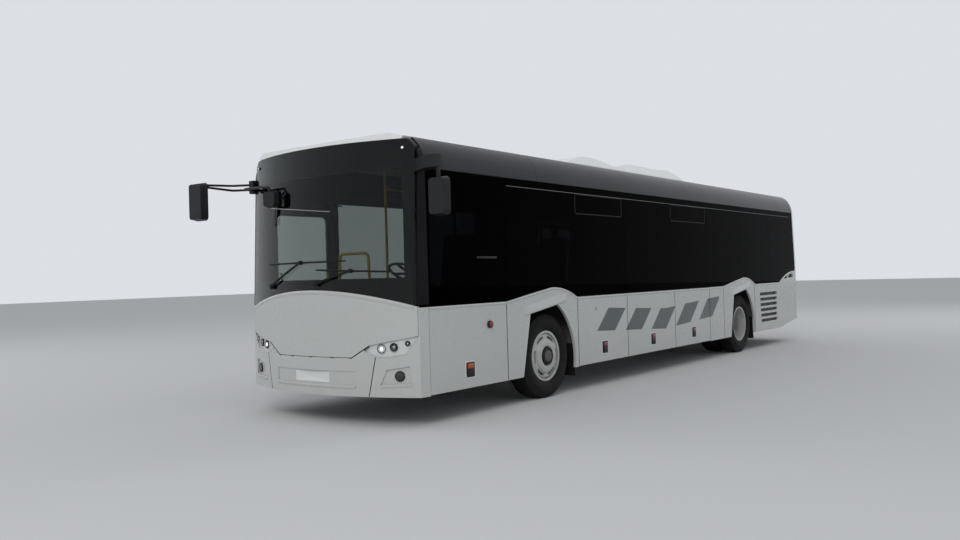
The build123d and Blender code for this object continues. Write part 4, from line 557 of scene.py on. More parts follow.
# The tyres: the section's own outline, with ring grooves and slanted shoulder notches cut into the crown.
tyre = {
    "centres": (1.090, 0.755),
    "crown": 0.5,
    "crownHalf": 0.1095,
    "crownFall": 0.008,
    "bead": (0.101, 0.2865),
    "wall": ((0.109, 0.3025), (0.147, 0.3735), (0.1255, 0.455)),
    "wallRib": 0.0012,
    "grooves": (0.028, 0.074),
    "grooveHalf": 0.0055,
    "grooveDepth": 0.013,
    "blocks": 60,
    "notch": (0.0, 0.04, 0.2, 0.24),
    "notchDepth": 0.008,
    "notchSlant": 0.35,
    "notchReach": 0.05,
    "notchFoot": 0.44,
}


def tyreShape(axleX, middleY):
    # a closed section turned about the axle; the crown drops in grooves by width and in notches by angle
    t = tyre
    s = np.array([0, 0.1, 0.2, 0.24, 0.26, 0.3, 0.4, 0.5, 0.6, 0.68, 0.7, 0.76, 0.78, 0.88, 1.0])
    ribPoints = [3, 4, 10, 11]
    a, b, c = (np.array(p) for p in t["wall"])
    control = 2 * b - (a + c) / 2
    wall = ((1 - s) ** 2)[:, None] * a + (2 * s * (1 - s))[:, None] * control + (s**2)[:, None] * c
    wall[ribPoints, 0] += t["wallRib"]
    edges = np.array([-1, -0.7, 0.7, 1]) * t["grooveHalf"]
    half = np.sort(np.concatenate([g + edges for g in t["grooves"]]))
    crown = np.concatenate([[-t["crownHalf"]], -half[::-1], [0.0], half, [t["crownHalf"]]])
    fromGroove = np.min(np.abs(np.abs(crown)[:, None] - np.array(t["grooves"])), axis=1)
    sunk = t["grooveDepth"] * (fromGroove < t["grooveHalf"] * 0.8)
    crownRadius = t["crown"] - t["crownFall"] * np.abs(crown) / t["crownHalf"] - sunk
    bead = np.array([t["bead"]])
    across = np.concatenate([bead[:, 0], wall[:, 0], crown[::-1], -wall[::-1, 0], -bead[:, 0]])
    radius = np.concatenate([bead[:, 1], wall[:, 1], crownRadius[::-1], wall[::-1, 1], bead[:, 1]])
    step = 2 * math.pi / t["blocks"]
    angle = (np.arange(t["blocks"])[:, None] + np.array(t["notch"])).reshape(-1) * step
    cut = np.tile([0.0, 1.0, 1.0, 0.0], t["blocks"])
    shoulder = (np.abs(across) > t["grooves"][1] + t["grooveHalf"]) & (radius > t["notchFoot"])
    slant = t["notchSlant"] * np.clip(np.abs(across) - t["grooves"][1], 0, t["notchReach"])
    turn = angle[:, None] + slant[None]
    r = radius[None] - t["notchDepth"] * cut[:, None] * shoulder[None]
    y = np.broadcast_to(across[None] + middleY, r.shape)
    points = np.stack([axleX + r * np.sin(turn), y, bus["axleZ"] + r * np.cos(turn)], -1)
    return gridShape(points, wrapRows=True, wrapColumns=True)


outerTyre, innerTyre = tyre["centres"]
for sideName, side in sides:
    shapes = [tyreShape(frontAxleX, side * outerTyre)]
    front = makePiece(f"frontTyre_{sideName}", shapes, "tyreRubber", f"front_wheel_{sideName}")
    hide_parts(f"front_tyre_{sideName}")
    shapes = [tyreShape(rearAxleX, side * y) for y in (outerTyre, innerTyre)]
    rear = makePiece(f"rearTyres_{sideName}", shapes, "tyreRubber", f"rear_wheels_{sideName}")
    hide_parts(f"rear_tyres_{sideName}")
print("stage: tyres made")

# Six-sided nuts on washers round the rear hubs, a bolted ring and a domed cap on the front ones, a rear cap.
hubs = {
    "nuts": {"count": 10, "circle": 0.1675, "shift": 0.5},
    "nutY": 0.9365,
    "washer": ((0.0216, 0), (0.0216, 0.003), (0.016, 0.004)),
    "nut": ((0.016, 0.003), (0.016, 0.023), (0.0136, 0.026), (0.008, 0.026), (0.0072, 0.020)),
    "bolts": {"count": 8, "circle": 0.089, "shift": 0},
    "boltOut": 0.064,
    "bolt": ((0.006, 0.0), (0.006, 0.004), (0.0045, 0.0055), (0.0005, 0.0055)),
    "frontY": 1.181,
    "frontRing": (
        (0.109, 0.0003), (0.109, 0.048), (0.104, 0.060), (0.094, 0.065), (0.084, 0.065), (0.079, 0.056),
        (0.079, 0.036),
    ),
    "frontCap": (
        (0.0788, 0.036), (0.076, 0.048), (0.070, 0.062), (0.066, 0.067), (0.040, 0.074), (0.020, 0.075),
        (0.0008, 0.075),
    ),
    "rearY": 1.080,
    "rearCap": (
        (0.1065, 0.0), (0.108, 0.006), (0.108, 0.052), (0.100, 0.060), (0.088, 0.063), (0.080, 0.058),
        (0.074, 0.066), (0.050, 0.072), (0.0008, 0.074),
    ),
}


def ringPlaces(axleX, y, count, circle, shift):
    # places set evenly round the axle, the first turned on by a share of one step
    turns = [2 * math.pi * (n + shift) / count for n in range(count)]
    return [(axleX + circle * math.sin(a), y, bus["axleZ"] + circle * math.cos(a)) for a in turns]


for sideName, side in sides:
    facing, frontY = (0, side, 0), side * hubs["frontY"]
    frontWheel, rearWheels = f"front_wheel_{sideName}", f"rear_wheels_{sideName}"
    nuts = []
    for at in ringPlaces(rearAxleX, side * hubs["nutY"], **hubs["nuts"]):
        nuts += [turnedShape(at, facing, hubs["washer"], 16), turnedShape(at, facing, hubs["nut"], 6)]
    makePiece(f"rearNuts_{sideName}", nuts, "bareSteel", rearWheels)
    ring = [turnedShape((frontAxleX, frontY, bus["axleZ"]), facing, hubs["frontRing"], 48)]
    for at in ringPlaces(frontAxleX, frontY + side * hubs["boltOut"], **hubs["bolts"]):
        ring.append(turnedShape(at, facing, hubs["bolt"], 6))
    makePiece(f"frontHubRing_{sideName}", ring, "blackPlastic", frontWheel, "wheel_white")
    cap = turnedShape((frontAxleX, frontY, bus["axleZ"]), facing, hubs["frontCap"], 48)
    makePiece(f"frontHubCap_{sideName}", [cap], "chassisPaint", frontWheel)
    cap = turnedShape((rearAxleX, side * hubs["rearY"], bus["axleZ"]), facing, hubs["rearCap"], 48)
    makePiece(f"rearHubCap_{sideName}", [cap], "chassisPaint", rearWheels)
print("stage: wheels trimmed")

# The lamps at the front: each a bezel, a dish, a clear dome and a core; the fog lamps have one dark lens.
frontLamps = {
    # y, z, radius, kind, and how far the lamp stands out from the front's face
    "places": (
        (0.879, 0.780, 0.0425, "bright", -0.0106),
        (1.007, 0.795, 0.0405, "dark", -0.0106),
        (1.143, 0.832, 0.0255, "dark", -0.0106),
        (1.062, 0.510, 0.050, "fog", -0.0056),
        (1.10, 2.765, 0.016, "bright", 0.004),
    ),
    # the pieces that a kind's bezel, dish, dome and core belong to
    "bright": ("lampDarkRings", "lampDishes", "lampDomes", "lampCores"),
    "dark": ("lampDarkRings", "lampDarkRings", "lampDomes", "lampBezels"),
    "fog": ("lampDarkRings", "fogDomes", "fogDomes"),
    "finishes": {
        "lampBezels": ("lampShell", "lamp_housing"),
        "lampDishes": ("mirrorGlass", "lamp_housing"),
        "lampDarkRings": ("blackPlastic", "black_plastic"),
        "lampCores": ("lampGlow", "lamp_housing"),
        "lampDomes": ("lampGlass", "lamp_housing"),
        "fogDomes": ("fogLens", "black_plastic"),
    },
    "bezel": ((1, -0.012), (1.06, 0.0), (1.04, 0.006), (0.96, 0.009), (0.9, 0.004), (0.9, -0.012)),
}


def lampParts(at, facing, radius):
    # bezel, dish, dome and core, each a profile of radius and height turned about the lamp's axis
    bezel = [(radius * share, height) for share, height in frontLamps["bezel"]]
    t = np.linspace(0, 1, 9)
    fall, rise = np.cos(t * math.pi / 2), np.sin(t * math.pi / 2)
    dish = np.stack([radius * 0.9 * (1 - t), -0.006 * rise - 0.001], -1)
    dome = np.stack([radius * 0.9 * fall, 0.002 + 0.010 * rise], -1)
    core = np.stack([radius * 0.42 * fall, -0.001 + 0.006 * rise], -1)
    inside = [turnedShape(at, facing, *form) for form in ((dish, 40), (dome, 40), (core, 28))]
    return turnedShape(at, facing, bezel, 40, closed=True), *inside


lampShapes = {pieceName: [] for pieceName in frontLamps["finishes"]}
for y, z, radius, kind, out in frontLamps["places"]:
    x = float(noseX(y) if z < bus["screenLow"] else screenX(y, z))
    for side in (1, -1):
        facing = noseNormal(side * y)
        parts = lampParts(np.array((x, side * y, z)) + facing * out, facing, radius)
        for pieceName, shape in zip(frontLamps[kind], parts):
            lampShapes[pieceName].append(shape)
for pieceName, (finish, slot) in frontLamps["finishes"].items():
    makePiece(pieceName, lampShapes[pieceName], finish, slot=slot)
print("stage: front lamps made")

# The lamps at the tail: a quarter ellipse with sine ribs over each round housing, clear at the foot.
tailLamps = {
    "y": 1.04, "radius": 0.050, "sink": 0.004, "base": 0.003, "rise": 0.009, "rib": 0.0012, "ribs": 12,
    "lenses": ((0.76, "lampGlass"), (0.89, "redLens"), (1.02, "amberLens"), (1.15, "redLens")),
}
t = np.linspace(0, 1, 15)
radius, ribs = tailLamps["radius"], tailLamps["rib"] * np.sin(t * math.pi * tailLamps["ribs"])
dome = tailLamps["rise"] * np.sqrt(np.clip(1 - (1 - t) ** 2, 0, 1))
crown = tailLamps["base"] + dome + ribs * (t > 0.1)
profile = [(radius, 0.0), *np.stack([radius * (1 - t * 0.999), crown], -1).tolist()]
x = float(bus["tailX"] + arcDepth(bus["tailRadius"], tailLamps["y"])) - tailLamps["sink"]
for n, (z, finish) in enumerate(tailLamps["lenses"], 1):
    shapes = [turnedShape((x, side * tailLamps["y"], z), (-1, 0, 0), profile, 36) for side in (1, -1)]
    makePiece(f"tailLens_{n}", shapes, finish, slot="red_lamp")

# Handle and marker units on the flaps: a pale surround, a black grip set in it and a lens above.
gripRib = (0.044, 0.003, 0.0025, ((0, 0.012), (0.001, 0.0155)))
handles = {
    "places": (
        (4.833, "body", 1), (1.9765, "left_flap_1", 1), (0.566, "left_flap_2", 1), (-0.8515, "left_flap_3", 1),
        (1.9765, "right_flap", -1),
    ),
    "z": 0.5,
    "outer": (0.084, 0.090, 0.022),
    "inner": (0.073, 0.079, 0.013),
    # rise above the middle, half width, half height, corner, and layers of inset and height
    "grip": (
        (0, 0.072, 0.078, 0.012, ((0, 0.0003), (0, 0.0035), (0.004, 0.005))),
        (-0.034, 0.054, 0.026, 0.010, ((0, 0.004), (0, 0.010), (0.007, 0.014))),
        (-0.046, *gripRib), (-0.034, *gripRib), (-0.022, *gripRib),
    ),
    "lens": ((0.038, 0.050, 0.026, 0.009, ((0, 0.004), (0.001, 0.011), (0.008, 0.015))),),
}
outer, inner = roundRect(*handles["outer"]), roundRect(*handles["inner"])
surround = ((outer, 0.0002), (outer * 0.99, 0.003), (inner, 0.003), (inner, -0.0005))
for n, (x, bodyName, side) in enumerate(handles["places"], 1):
    facing, y = (0, side, 0), side * bus["halfWidth"]
    shapes = [frameShape((x, y, handles["z"]), facing, surround)]
    makePiece(f"handleSurround_{n}", shapes, "plateWhite", bodyName)
    lensFinish = "dullAmberLens" if bodyName == "body" else "dullRedLens"
    for part, finish in (("grip", "blackPlastic"), ("lens", lensFinish)):
        shapes = [pillowShape((x, y, handles["z"] + rise), facing, *form) for rise, *form in handles[part]]
        makePiece(f"handle{part.title()}_{n}", shapes, finish, bodyName)

# The round side reflector ahead of the flaps, one each side.
reflector = {
    "x": 4.48, "z": 0.95,
    "drum": ((0.040, 0.0003), (0.040, 0.022), (0.038, 0.026), (0.035, 0.026), (0.035, 0.022)),
    "domeFoot": (0.0348, 0.022), "domeRadius": 0.0345, "domeBase": 0.024, "domeRise": 0.009, "domeTurn": 1.5,
}
turn = np.linspace(0, 1, 8) * reflector["domeTurn"]
crown = np.stack([
    reflector["domeRadius"] * np.cos(turn), reflector["domeBase"] + reflector["domeRise"] * np.sin(turn)
], -1)
dome = [reflector["domeFoot"], *crown.tolist()]
drums, domes = [], []
for side in (1, -1):
    at = (reflector["x"], side * bus["halfWidth"], reflector["z"])
    drums.append(turnedShape(at, (0, side, 0), reflector["drum"], 36))
    domes.append(turnedShape(at, (0, side, 0), dome, 36))
makePiece("reflectorDrums", drums, "blackPlastic")
makePiece("sideReflectors", domes, "dullRedLens")
print("stage: side units made")

# Frames of the opening top windows, and the driver's window catch.
hoppers = {
    "spans": ((1.425, 2.645), (-1.395, -0.105)),
    "z": (2.21, 2.465),
    # inset, corner and height of each outline
    "section": ((0, 0.03, 0.0002), (0.002, 0.03, 0.0035), (0.012, 0.02, 0.0035), (0.014, 0.02, 0.0002)),
}
low, high = hoppers["z"]
hopperShapes = []
for start, end in hoppers["spans"]:
    halfU, halfV = (end - start) / 2, (high - low) / 2
    outlines = [(roundRect(halfU - d, halfV - d, corner), lift) for d, corner, lift in hoppers["section"]]
    for side in (1, -1):
        at = ((start + end) / 2, side * bus["halfWidth"], (low + high) / 2)
        hopperShapes.append(frameShape(at, (0, side, 0), outlines))
makePiece("hopperFrames", hopperShapes, "rubberSeal")
windowCatch = {
    "at": (4.5, 1.275, 1.67),
    "form": (0.18, 0.012, 0.010, ((0, 0.0002), (0, 0.004), (0.003, 0.006))),
}
makePiece("windowCatch", [pillowShape(windowCatch["at"], (0, 1, 0), *windowCatch["form"])], "blackPlastic")

# Blank number plates, front and rear: a thin sheet with a pressed rim.
plates = {
    "frontPlate": ((5.8653, 0.0, 0.4825), (1, 0, 0), "body"),
    "rearPlate": ((-6.1016, 0.0, 0.67), (-1, 0, 0), "engine_lid"),
}
plateForm = (0.255, 0.054, 0.01, ((0, 0.0003), (0, 0.0022), (0.003, 0.0032), (0.006, 0.0032), (0.008, 0.0022)))
for pieceName, (at, facing, bodyName) in plates.items():
    makePiece(pieceName, [pillowShape(at, facing, *plateForm)], "plateWhite", bodyName)

# Mirror glasses on the backs of the three heads, each in a thin rubber edge.
mirrorHeads = {
    "right": ((6.025, -1.610, 2.400), 0.125, 0.215),
    "inner": ((5.840, -0.590, 2.365), 0.100, 0.090),
    "left": ((5.645, 1.629, 2.240), 0.106, 0.185),
}
mirrorTrim = {"corner": 0.05, "edge": 0.008, "rim": 0.010, "glass": ((0, 0.0002), (0, 0.002), (0.002, 0.003))}
corner, edge, rim = (mirrorTrim[key] for key in ("corner", "edge", "rim"))
glassShapes, edgeShapes = [], []
for at, halfU, halfV in mirrorHeads.values():
    innerU, innerV = halfU - edge - rim, halfV - edge - rim
    glassForm = (innerU - 0.001, innerV - 0.001, corner - rim, mirrorTrim["glass"])
    glassShapes.append(pillowShape(at, (-1, 0, 0), *glassForm))
    outer, inner = roundRect(halfU - edge, halfV - edge, corner), roundRect(innerU, innerV, corner - rim)
    outlines = ((outer, 0.0002), (outer * 0.992, 0.005), (inner * 1.01, 0.005), (inner, 0.0002))
    edgeShapes.append(frameShape(at, (-1, 0, 0), outlines))
makePiece("mirrorGlasses", glassShapes, "mirrorGlass")
makePiece("mirrorEdges", edgeShapes, "rubberSeal")
print("stage: plates, windows and mirrors trimmed")

# Two upright grab rails inside each door leaf.
doorRails = {
    "leaves": {
        "front_door": (4.393, 5.327),
        "middle_door_front": (-0.8475, -0.2115),
        "middle_door_rear": (-1.4925, -0.8555),
    },
    "inset": 0.1,
    "path": ((-1.236, 0.95), (-1.205, 0.97), (-1.205, 1.55), (-1.236, 1.57)),
    "bend": 0.02,
    "radius": 0.011,
}
for bodyName, (low, high) in doorRails["leaves"].items():
    rails = []
    for x in (low + doorRails["inset"], high - doorRails["inset"]):
        path = roundedPath([(x, y, z) for y, z in doorRails["path"]], doorRails["bend"])
        rails.append(tubeShape(path, doorRails["radius"], 14, reference=(1, 0, 0)))
    makePiece(f"{bodyName}Rails", rails, "railYellow", bodyName)
print("stage: doors trimmed")

# Seats: shells and legs, and padded cushions and backs blown up by a cloth step.
seating = {
    "cushionDepth": 0.43, "cushionHalf": 0.213, "height": 0.44, "backHeight": 1.13, "backLean": 0.11,
    "wide": 0.89, "outer": 1.205, "floor": 0.86, "platform": 1.14,
    # distances from the nose
    "leftRow": 3.33, "rightRows": (3.33, 4.09, 4.85, 7.54), "rearRow": 8.33, "rowStep": 0.76,
    "voxel": 0.020, "driverVoxel": 0.013, "pressure": 4.0, "reach": 0.009, "frames": 20,
    # half depth or height, and thickness of the pads, and how far pad and shell lie behind the back's face
    "cushion": (0.20, 0.085), "back": (0.315, 0.06), "padBack": 0.042, "shellBack": 0.078,
    "shell": (0.338, 0.06, ((0.012, -0.012), (0.0, 0.0), (0.0, 0.012))),
    "pan": (0.43, 0.205, 0.04, ((0.01, -0.006), (0, 0.0), (0, 0.012))), "panBack": 0.215, "panDrop": 0.118,
    "foot": (0.05, 0.11, 0.02, ((0, 0), (0, 0.006), (0.003, 0.008))), "footBack": 0.235,
    "legs": ((0.16, 0.19), (0.30, 0.27)), "legRadius": 0.026, "legInset": 0.16, "legDrop": 0.125,
    "rest": ((0.38, 0.63), (0.12, 0.64)), "restInset": 0.014,
    "restRadii": (0.008, 0.016, 0.018, 0.018, 0.018, 0.016, 0.008),
}
s = seating
seatRows = [(s["leftRow"] + s["rowStep"] * n, 1, s["floor"]) for n in range(6)]
seatRows += [(distance, -1, s["floor"]) for distance in s["rightRows"]]
seatRows += [(s["rearRow"] + s["rowStep"] * n, side, s["platform"]) for n in range(4) for side in (1, -1)]


def station(distance):
    # x of a place that is measured back from the nose
    return bus["noseX"] - distance


def cushionForm(halfU, halfV, thick, facing, at, up):
    # a slab with round corners and crowned faces: the inset falls away from the middle layer on both sides
    layers = [(0.03, -thick / 2), (0.006, -thick * 0.36), (0, 0.0), (0.008, thick * 0.3), (0.035, thick * 0.5)]
    return pillowShape(at, facing, halfU, halfV, 0.05, layers, up=up, corner=6)


def finishedMesh(made):
    return bpy.data.meshes.new_from_object(made.evaluated_get(bpy.context.evaluated_depsgraph_get()))


def meshPoints(mesh):
    points = np.empty(len(mesh.vertices) * 3)
    mesh.vertices.foreach_get("co", points)
    return points.reshape(-1, 3)


def blowUp(shape, voxel, name):
    # remesh the slab, fill it by cloth pressure with its growth capped, and give back points and faces
    pad, mesh = newObject(name, *shape)
    closeSeams(mesh, 1e-5)
    remesh = pad.modifiers.new("remesh", "REMESH")
    remesh.mode = "VOXEL"
    remesh.voxel_size = voxel
    pad.data = finishedMesh(pad)
    pad.modifiers.clear()
    before = after = meshPoints(pad.data)
    faces = [list(face.vertices) for face in pad.data.polygons]
    cloth = pad.modifiers.new("cloth", "CLOTH")
    cloth.settings.use_pressure = True
    cloth.settings.uniform_pressure_force = seating["pressure"]
    cloth.settings.quality = 4
    cloth.settings.effector_weights.gravity = 0.0
    cloth.point_cache.frame_end = seating["frames"]
    for number in range(1, seating["frames"] + 1):
        scene.frame_set(number)
    moved = meshPoints(finishedMesh(pad)) - before
    reach = np.linalg.norm(moved, axis=1, keepdims=True)
    after = before + moved * np.minimum(1.0, seating["reach"] / np.maximum(reach, 1e-9))
    scene.frame_set(1)
    bpy.data.objects.remove(pad)
    return after, faces


backAngle = math.atan2(s["backLean"], s["backHeight"] - s["height"])
backUp = np.array((-math.sin(backAngle), 0, math.cos(backAngle)))
backOut = np.array((math.cos(backAngle), 0, math.sin(backAngle)))
middleX = -s["cushionDepth"] + 0.012 - s["backLean"] / 2
backMiddle = np.array((middleX, 0, (s["height"] + s["backHeight"]) / 2 - 0.005))
upwards, forwards = (0, 0, 1), (1, 0, 0)
cushionAt = (-0.212, 0, s["height"] - 0.068)
cushionSlab = cushionForm(s["cushionHalf"] - 0.008, *s["cushion"], upwards, cushionAt, forwards)
backAt = backMiddle - backOut * s["padBack"]
backSlab = cushionForm(s["cushionHalf"] - 0.010, *s["back"], backOut, backAt, backUp)
cushion = blowUp(cushionSlab, s["voxel"], "cushionPad")
backPad = blowUp(backSlab, s["voxel"], "backPad")
shellForm = (s["cushionHalf"] - 0.003, *s["shell"])
cushions, backs, shells, legs = [], [], [], []
for distance, side, base in seatRows:
    front = station(distance)
    middleY = side * (s["outer"] - s["wide"] / 2)
    for offsetY in (-s["wide"] / 4, s["wide"] / 4):
        at = np.array((front, middleY + offsetY, base))
        cushions.append((cushion[0] + at, cushion[1]))
        backs.append((backPad[0] + at, backPad[1]))
        shellAt = at + backMiddle - backOut * s["shellBack"]
        shells.append(pillowShape(shellAt, backOut, *shellForm, up=backUp))
    panAt = (front - s["panBack"], middleY, base + s["height"] - s["panDrop"])
    shells.append(pillowShape(panAt, upwards, *s["pan"], up=forwards))
    aisleY, restY = (middleY - side * (s["wide"] / 2 - inset) for inset in (s["legInset"], s["restInset"]))
    for foot, head in s["legs"]:
        top = (front - head, aisleY, base + s["height"] - s["legDrop"])
        path = np.linspace((front - foot, aisleY, base + 0.0008), top, 5)
        legs.append(tubeShape(path, s["legRadius"], 14, reference=(0, 1, 0)))
    legs.append(pillowShape((front - s["footBack"], aisleY, base + 0.0006), upwards, *s["foot"], up=forwards))
    ends = [(front - back, restY, base + rise) for back, rise in s["rest"]]
    legs.append(tubeShape(np.linspace(*ends, 7), s["restRadii"], 12))
cushionPiece = makePiece("seatCushions", cushions, "seatCloth", weld=False)
backPiece = makePiece("seatBacks", backs, "seatCloth", weld=False)
shellPiece = makePiece("seatShells", shells, "greyPlastic")
legPiece = makePiece("seatLegs", legs, "frameSteel")

# The driver's seat: a wider cushion and a tall back, on a boxed pedestal.
driver = {
    "distance": 1.15, "low": 0.40, "high": 0.88, "inset": 0.012, "floor": 0.86, "cushionRise": 0.37,
    "cushion": (0.20, 0.09), "back": (0.315, 0.07), "padBack": 0.045, "shellBack": 0.088,
    "shell": (0.335, 0.06, ((0.012, -0.01), (0.0, 0.0), (0.0, 0.012))),
    "box": (0.19, 0.085, 0.03, ((0, 0), (0.02, 0.08), (0.03, 0.29), (0.0, 0.315))),
}
front = station(driver["distance"])
middleY = (driver["low"] + driver["high"]) / 2
halfU = (driver["high"] - driver["low"]) / 2 - driver["inset"]
cushionAt = (front - s["panBack"], middleY, driver["floor"] + driver["cushionRise"])
backAt = np.array((front, middleY, driver["floor"])) + backMiddle
driverPads = [
    cushionForm(halfU, *driver["cushion"], upwards, cushionAt, forwards),
    cushionForm(halfU, *driver["back"], backOut, backAt - backOut * driver["padBack"], backUp),
]
driverShapes = [blowUp(shape, s["driverVoxel"], f"driverPad{n}") for n, shape in enumerate(driverPads)]
driverPiece = makePiece("driverSeatPads", driverShapes, "seatCloth", weld=False)
smoothing = driverPiece.modifiers.new("smoothing", "SUBSURF")
smoothing.levels = smoothing.render_levels = 1
boxAt = (front - s["footBack"], middleY, driver["floor"] + 0.0008)
shellAt = backAt - backOut * driver["shellBack"]
box = [
    pillowShape(boxAt, upwards, *driver["box"], up=forwards),
    pillowShape(shellAt, backOut, halfU + 0.004, *driver["shell"], up=backUp),
]
driverBase = makePiece("driverSeatBase", box, "blackPlastic")
for piece in (cushionPiece, backPiece, shellPiece, legPiece, driverPiece, driverBase):
    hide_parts("seats")
print("stage: seats made")

# Roof unit: grilles of rings and cross wires over the fans in its rear pod.
roofUnit = {
    "podFront": (-0.265, 3.150), "podRear": (-1.430, 3.140), "facing": (0.0086, 0, 1),
    "fans": (-0.52, -1.12), "fanY": 0.25, "fanRadius": 0.205, "hub": 0.04, "rings": 7, "spokes": 4,
    "wire": 0.003,
}
fanRadius, wire = roofUnit["fanRadius"], roofUnit["wire"]


def podTop(x):
    # height of the rear pod's flat, which falls evenly towards the tail
    (x0, z0), (x1, z1) = roofUnit["podFront"], roofUnit["podRear"]
    return z0 + (z1 - z0) * (x - x0) / (x1 - x0)


wellRadius = fanRadius * 1.06
well = [(wellRadius, 0.0002), (wellRadius, 0.0012), (fanRadius, 0.0016)]
turn = np.linspace(0, 2 * math.pi, 41)
fanShapes = []
for x in roofUnit["fans"]:
    for y in (-roofUnit["fanY"], roofUnit["fanY"]):
        for radius in np.linspace(roofUnit["hub"], fanRadius, roofUnit["rings"]):
            ringX = x + radius * np.cos(turn)
            ring = np.stack([ringX, y + radius * np.sin(turn), podTop(ringX) + wire], -1)
            fanShapes.append(tubeShape(ring, wire, 6))
        for a in np.linspace(0, math.pi, roofUnit["spokes"], endpoint=False):
            reachX, reachY = fanRadius * math.cos(a), fanRadius * math.sin(a)
            ends = [(x + way * reachX, y + way * reachY, podTop(x + way * reachX)) for way in (-1, 1)]
            fanShapes.append(tubeShape(np.linspace(*ends, 3) + np.array((0, 0, wire)), wire, 6))
        fanShapes.append(turnedShape((x, y, podTop(x)), roofUnit["facing"], well, 36, up=forwards))
makePiece("roofUnitGrilles", fanShapes, "blackPlastic")
print("stage: roof unit trimmed")

# Mud flaps behind the wheels: thin rubber sheets hung from the housings, curled a little at the foot.
mudFlaps = {"rows": ((2.70, 1.09, 0.15), (-3.52, 1.0, 0.24)), "z": (0.60, 0.20), "thick": 0.008, "curl": 0.02}
flapShapes = []
for x, y, half in mudFlaps["rows"]:
    z = np.linspace(*mudFlaps["z"], 8)
    front = x - mudFlaps["curl"] * np.linspace(0, 1, 8) ** 3
    sectionX, sectionZ = np.append(front, (front - mudFlaps["thick"])[::-1]), np.append(z, z[::-1])
    for side in (1, -1):
        across = side * y + np.linspace(-half, half, 5)
        flapShapes.append(loftShape(np.stack(np.broadcast_arrays(sectionX, across[:, None], sectionZ), -1)))
makePiece("mudFlaps", flapShapes, "rubberSeal")


# Mouldings on the walls: a section of distance across and height out, carried along a path.
def arcThrough(a, b, c, count=24):
    # evenly spaced points on the circle through three points, from the first by the second to the third
    a, b, c = (np.array(place, float) for place in (a, b, c))
    centre = np.linalg.solve(2 * np.array([b - a, c - a]), np.array([b @ b - a @ a, c @ c - a @ a]))
    start, middle, end = (math.atan2(place[1] - centre[1], place[0] - centre[0]) for place in (a, b, c))
    toMiddle, toEnd = (middle - start) % (2 * math.pi), (end - start) % (2 * math.pi)
    angles = start + np.linspace(0, toEnd if toMiddle < toEnd else toEnd - 2 * math.pi, count)
    return centre + np.linalg.norm(a - centre) * np.stack([np.cos(angles), np.sin(angles)], -1)


def layAcross(path, section, turn):
    # both coordinates of the section's points, laid square to a flat path on its right, and their heights
    path, section = np.array(path, float), np.array(section, float)
    along = np.gradient(path, axis=0)
    along /= np.linalg.norm(along, axis=1, keepdims=True)
    across = turn * np.stack([along[:, 1], -along[:, 0]], -1)
    first, second = (path[:, n : n + 1] + section[None, :, 0] * across[:, n : n + 1] for n in (0, 1))
    return first, second, np.broadcast_to(section[None, :, 1], first.shape)


def sideMoulding(path, section, side, turn=1, swell=1.0):
    # path in x and z on a side wall; swell scales the height out from ring to ring
    x, z, out = layAcross(path, section, turn)
    out = np.maximum(out * np.reshape(swell, (-1, 1)), -0.0005)
    return loftShape(np.stack([x, side * (bus["halfWidth"] + out), z], -1))


def noseMoulding(path, section, turn=1):
    # path in y and z on the curved nose; the section is laid across it and lifted square to the nose's arc
    y, z, out = layAcross(path, section, turn)
    lean = y / bus["noseRadius"]
    return loftShape(np.stack([noseX(y) + out * np.sqrt(1 - lean**2), y + out * lean, z], -1))


# The white shoulder along the top of the side panels, which rises over the wheels and at the tail.
belt = {
    "start": (5.467, 1.180),
    "hump": ((0.860, 1.180), (0.436, 1.243), (-0.060, 1.310)),
    "humpArc": ((-0.060, 1.310), (-0.330, 1.288), (-0.640, 1.180)),
    "quarter": ((-4.925, 1.180), (-5.265, 1.312), (-5.879, 1.393)),
    "section": (
        (0, -0.0005), (0.003, 0.0035), (0.008, 0.0065), (0.013, 0.007), (0.024, 0.004), (0.034, -0.0005),
    ),
    "flapDrop": 0.004,
}
beltRuns = {
    1: (
        ("body", 0.418, 1.732), ("body", 1.738, 3.252), ("left_flap_1", 3.258, 4.559),
        ("left_flap_2", 4.565, 6.073), ("left_flap_3", 6.079, 7.394), ("body", 7.400, 7.993),
        ("body", 7.999, 9.457), ("body", 9.463, 11.764),
    ),
    -1: (
        ("body", 1.512, 1.732), ("body", 1.738, 3.252), ("right_flap", 3.258, 4.559), ("body", 4.565, 6.033),
        ("body", 7.400, 7.993), ("body", 7.999, 9.457), ("body", 9.463, 11.764),
    ),
}
beltLine = [belt["start"]]
for axle in axles:
    beltLine += [(axle + dx, z) for dx, z in belt["hump"]]
    beltLine += [(axle + dx, z) for dx, z in arcThrough(*belt["humpArc"])[1:]]
beltLine = np.array(beltLine + arcThrough(*belt["quarter"]).tolist())


def beltHeight(x):
    # height of the belt line, read between its points
    return np.interp(-x, -beltLine[:, 0], beltLine[:, 1])


beltShapes = {}
for side, runs in beltRuns.items():
    for bodyName, start, end in runs:
        xStart, xEnd = station(start), station(end)
        inside = beltLine[(beltLine[:, 0] < xStart - 0.002) & (beltLine[:, 0] > xEnd + 0.002), 0]
        xs = np.unique(np.concatenate([np.linspace(xEnd, xStart, 12), inside]))[::-1]
        zs = beltHeight(xs) - (belt["flapDrop"] if "flap" in bodyName else 0.0)
        moulding = sideMoulding(np.stack([xs, zs], -1), belt["section"], side, turn=-1)
        beltShapes.setdefault(bodyName, []).append(moulding)
for bodyName, shapes in beltShapes.items():
    makePiece(f"beltShoulder_{bodyName}", shapes, "bodyWhite", bodyName, smooth=60)

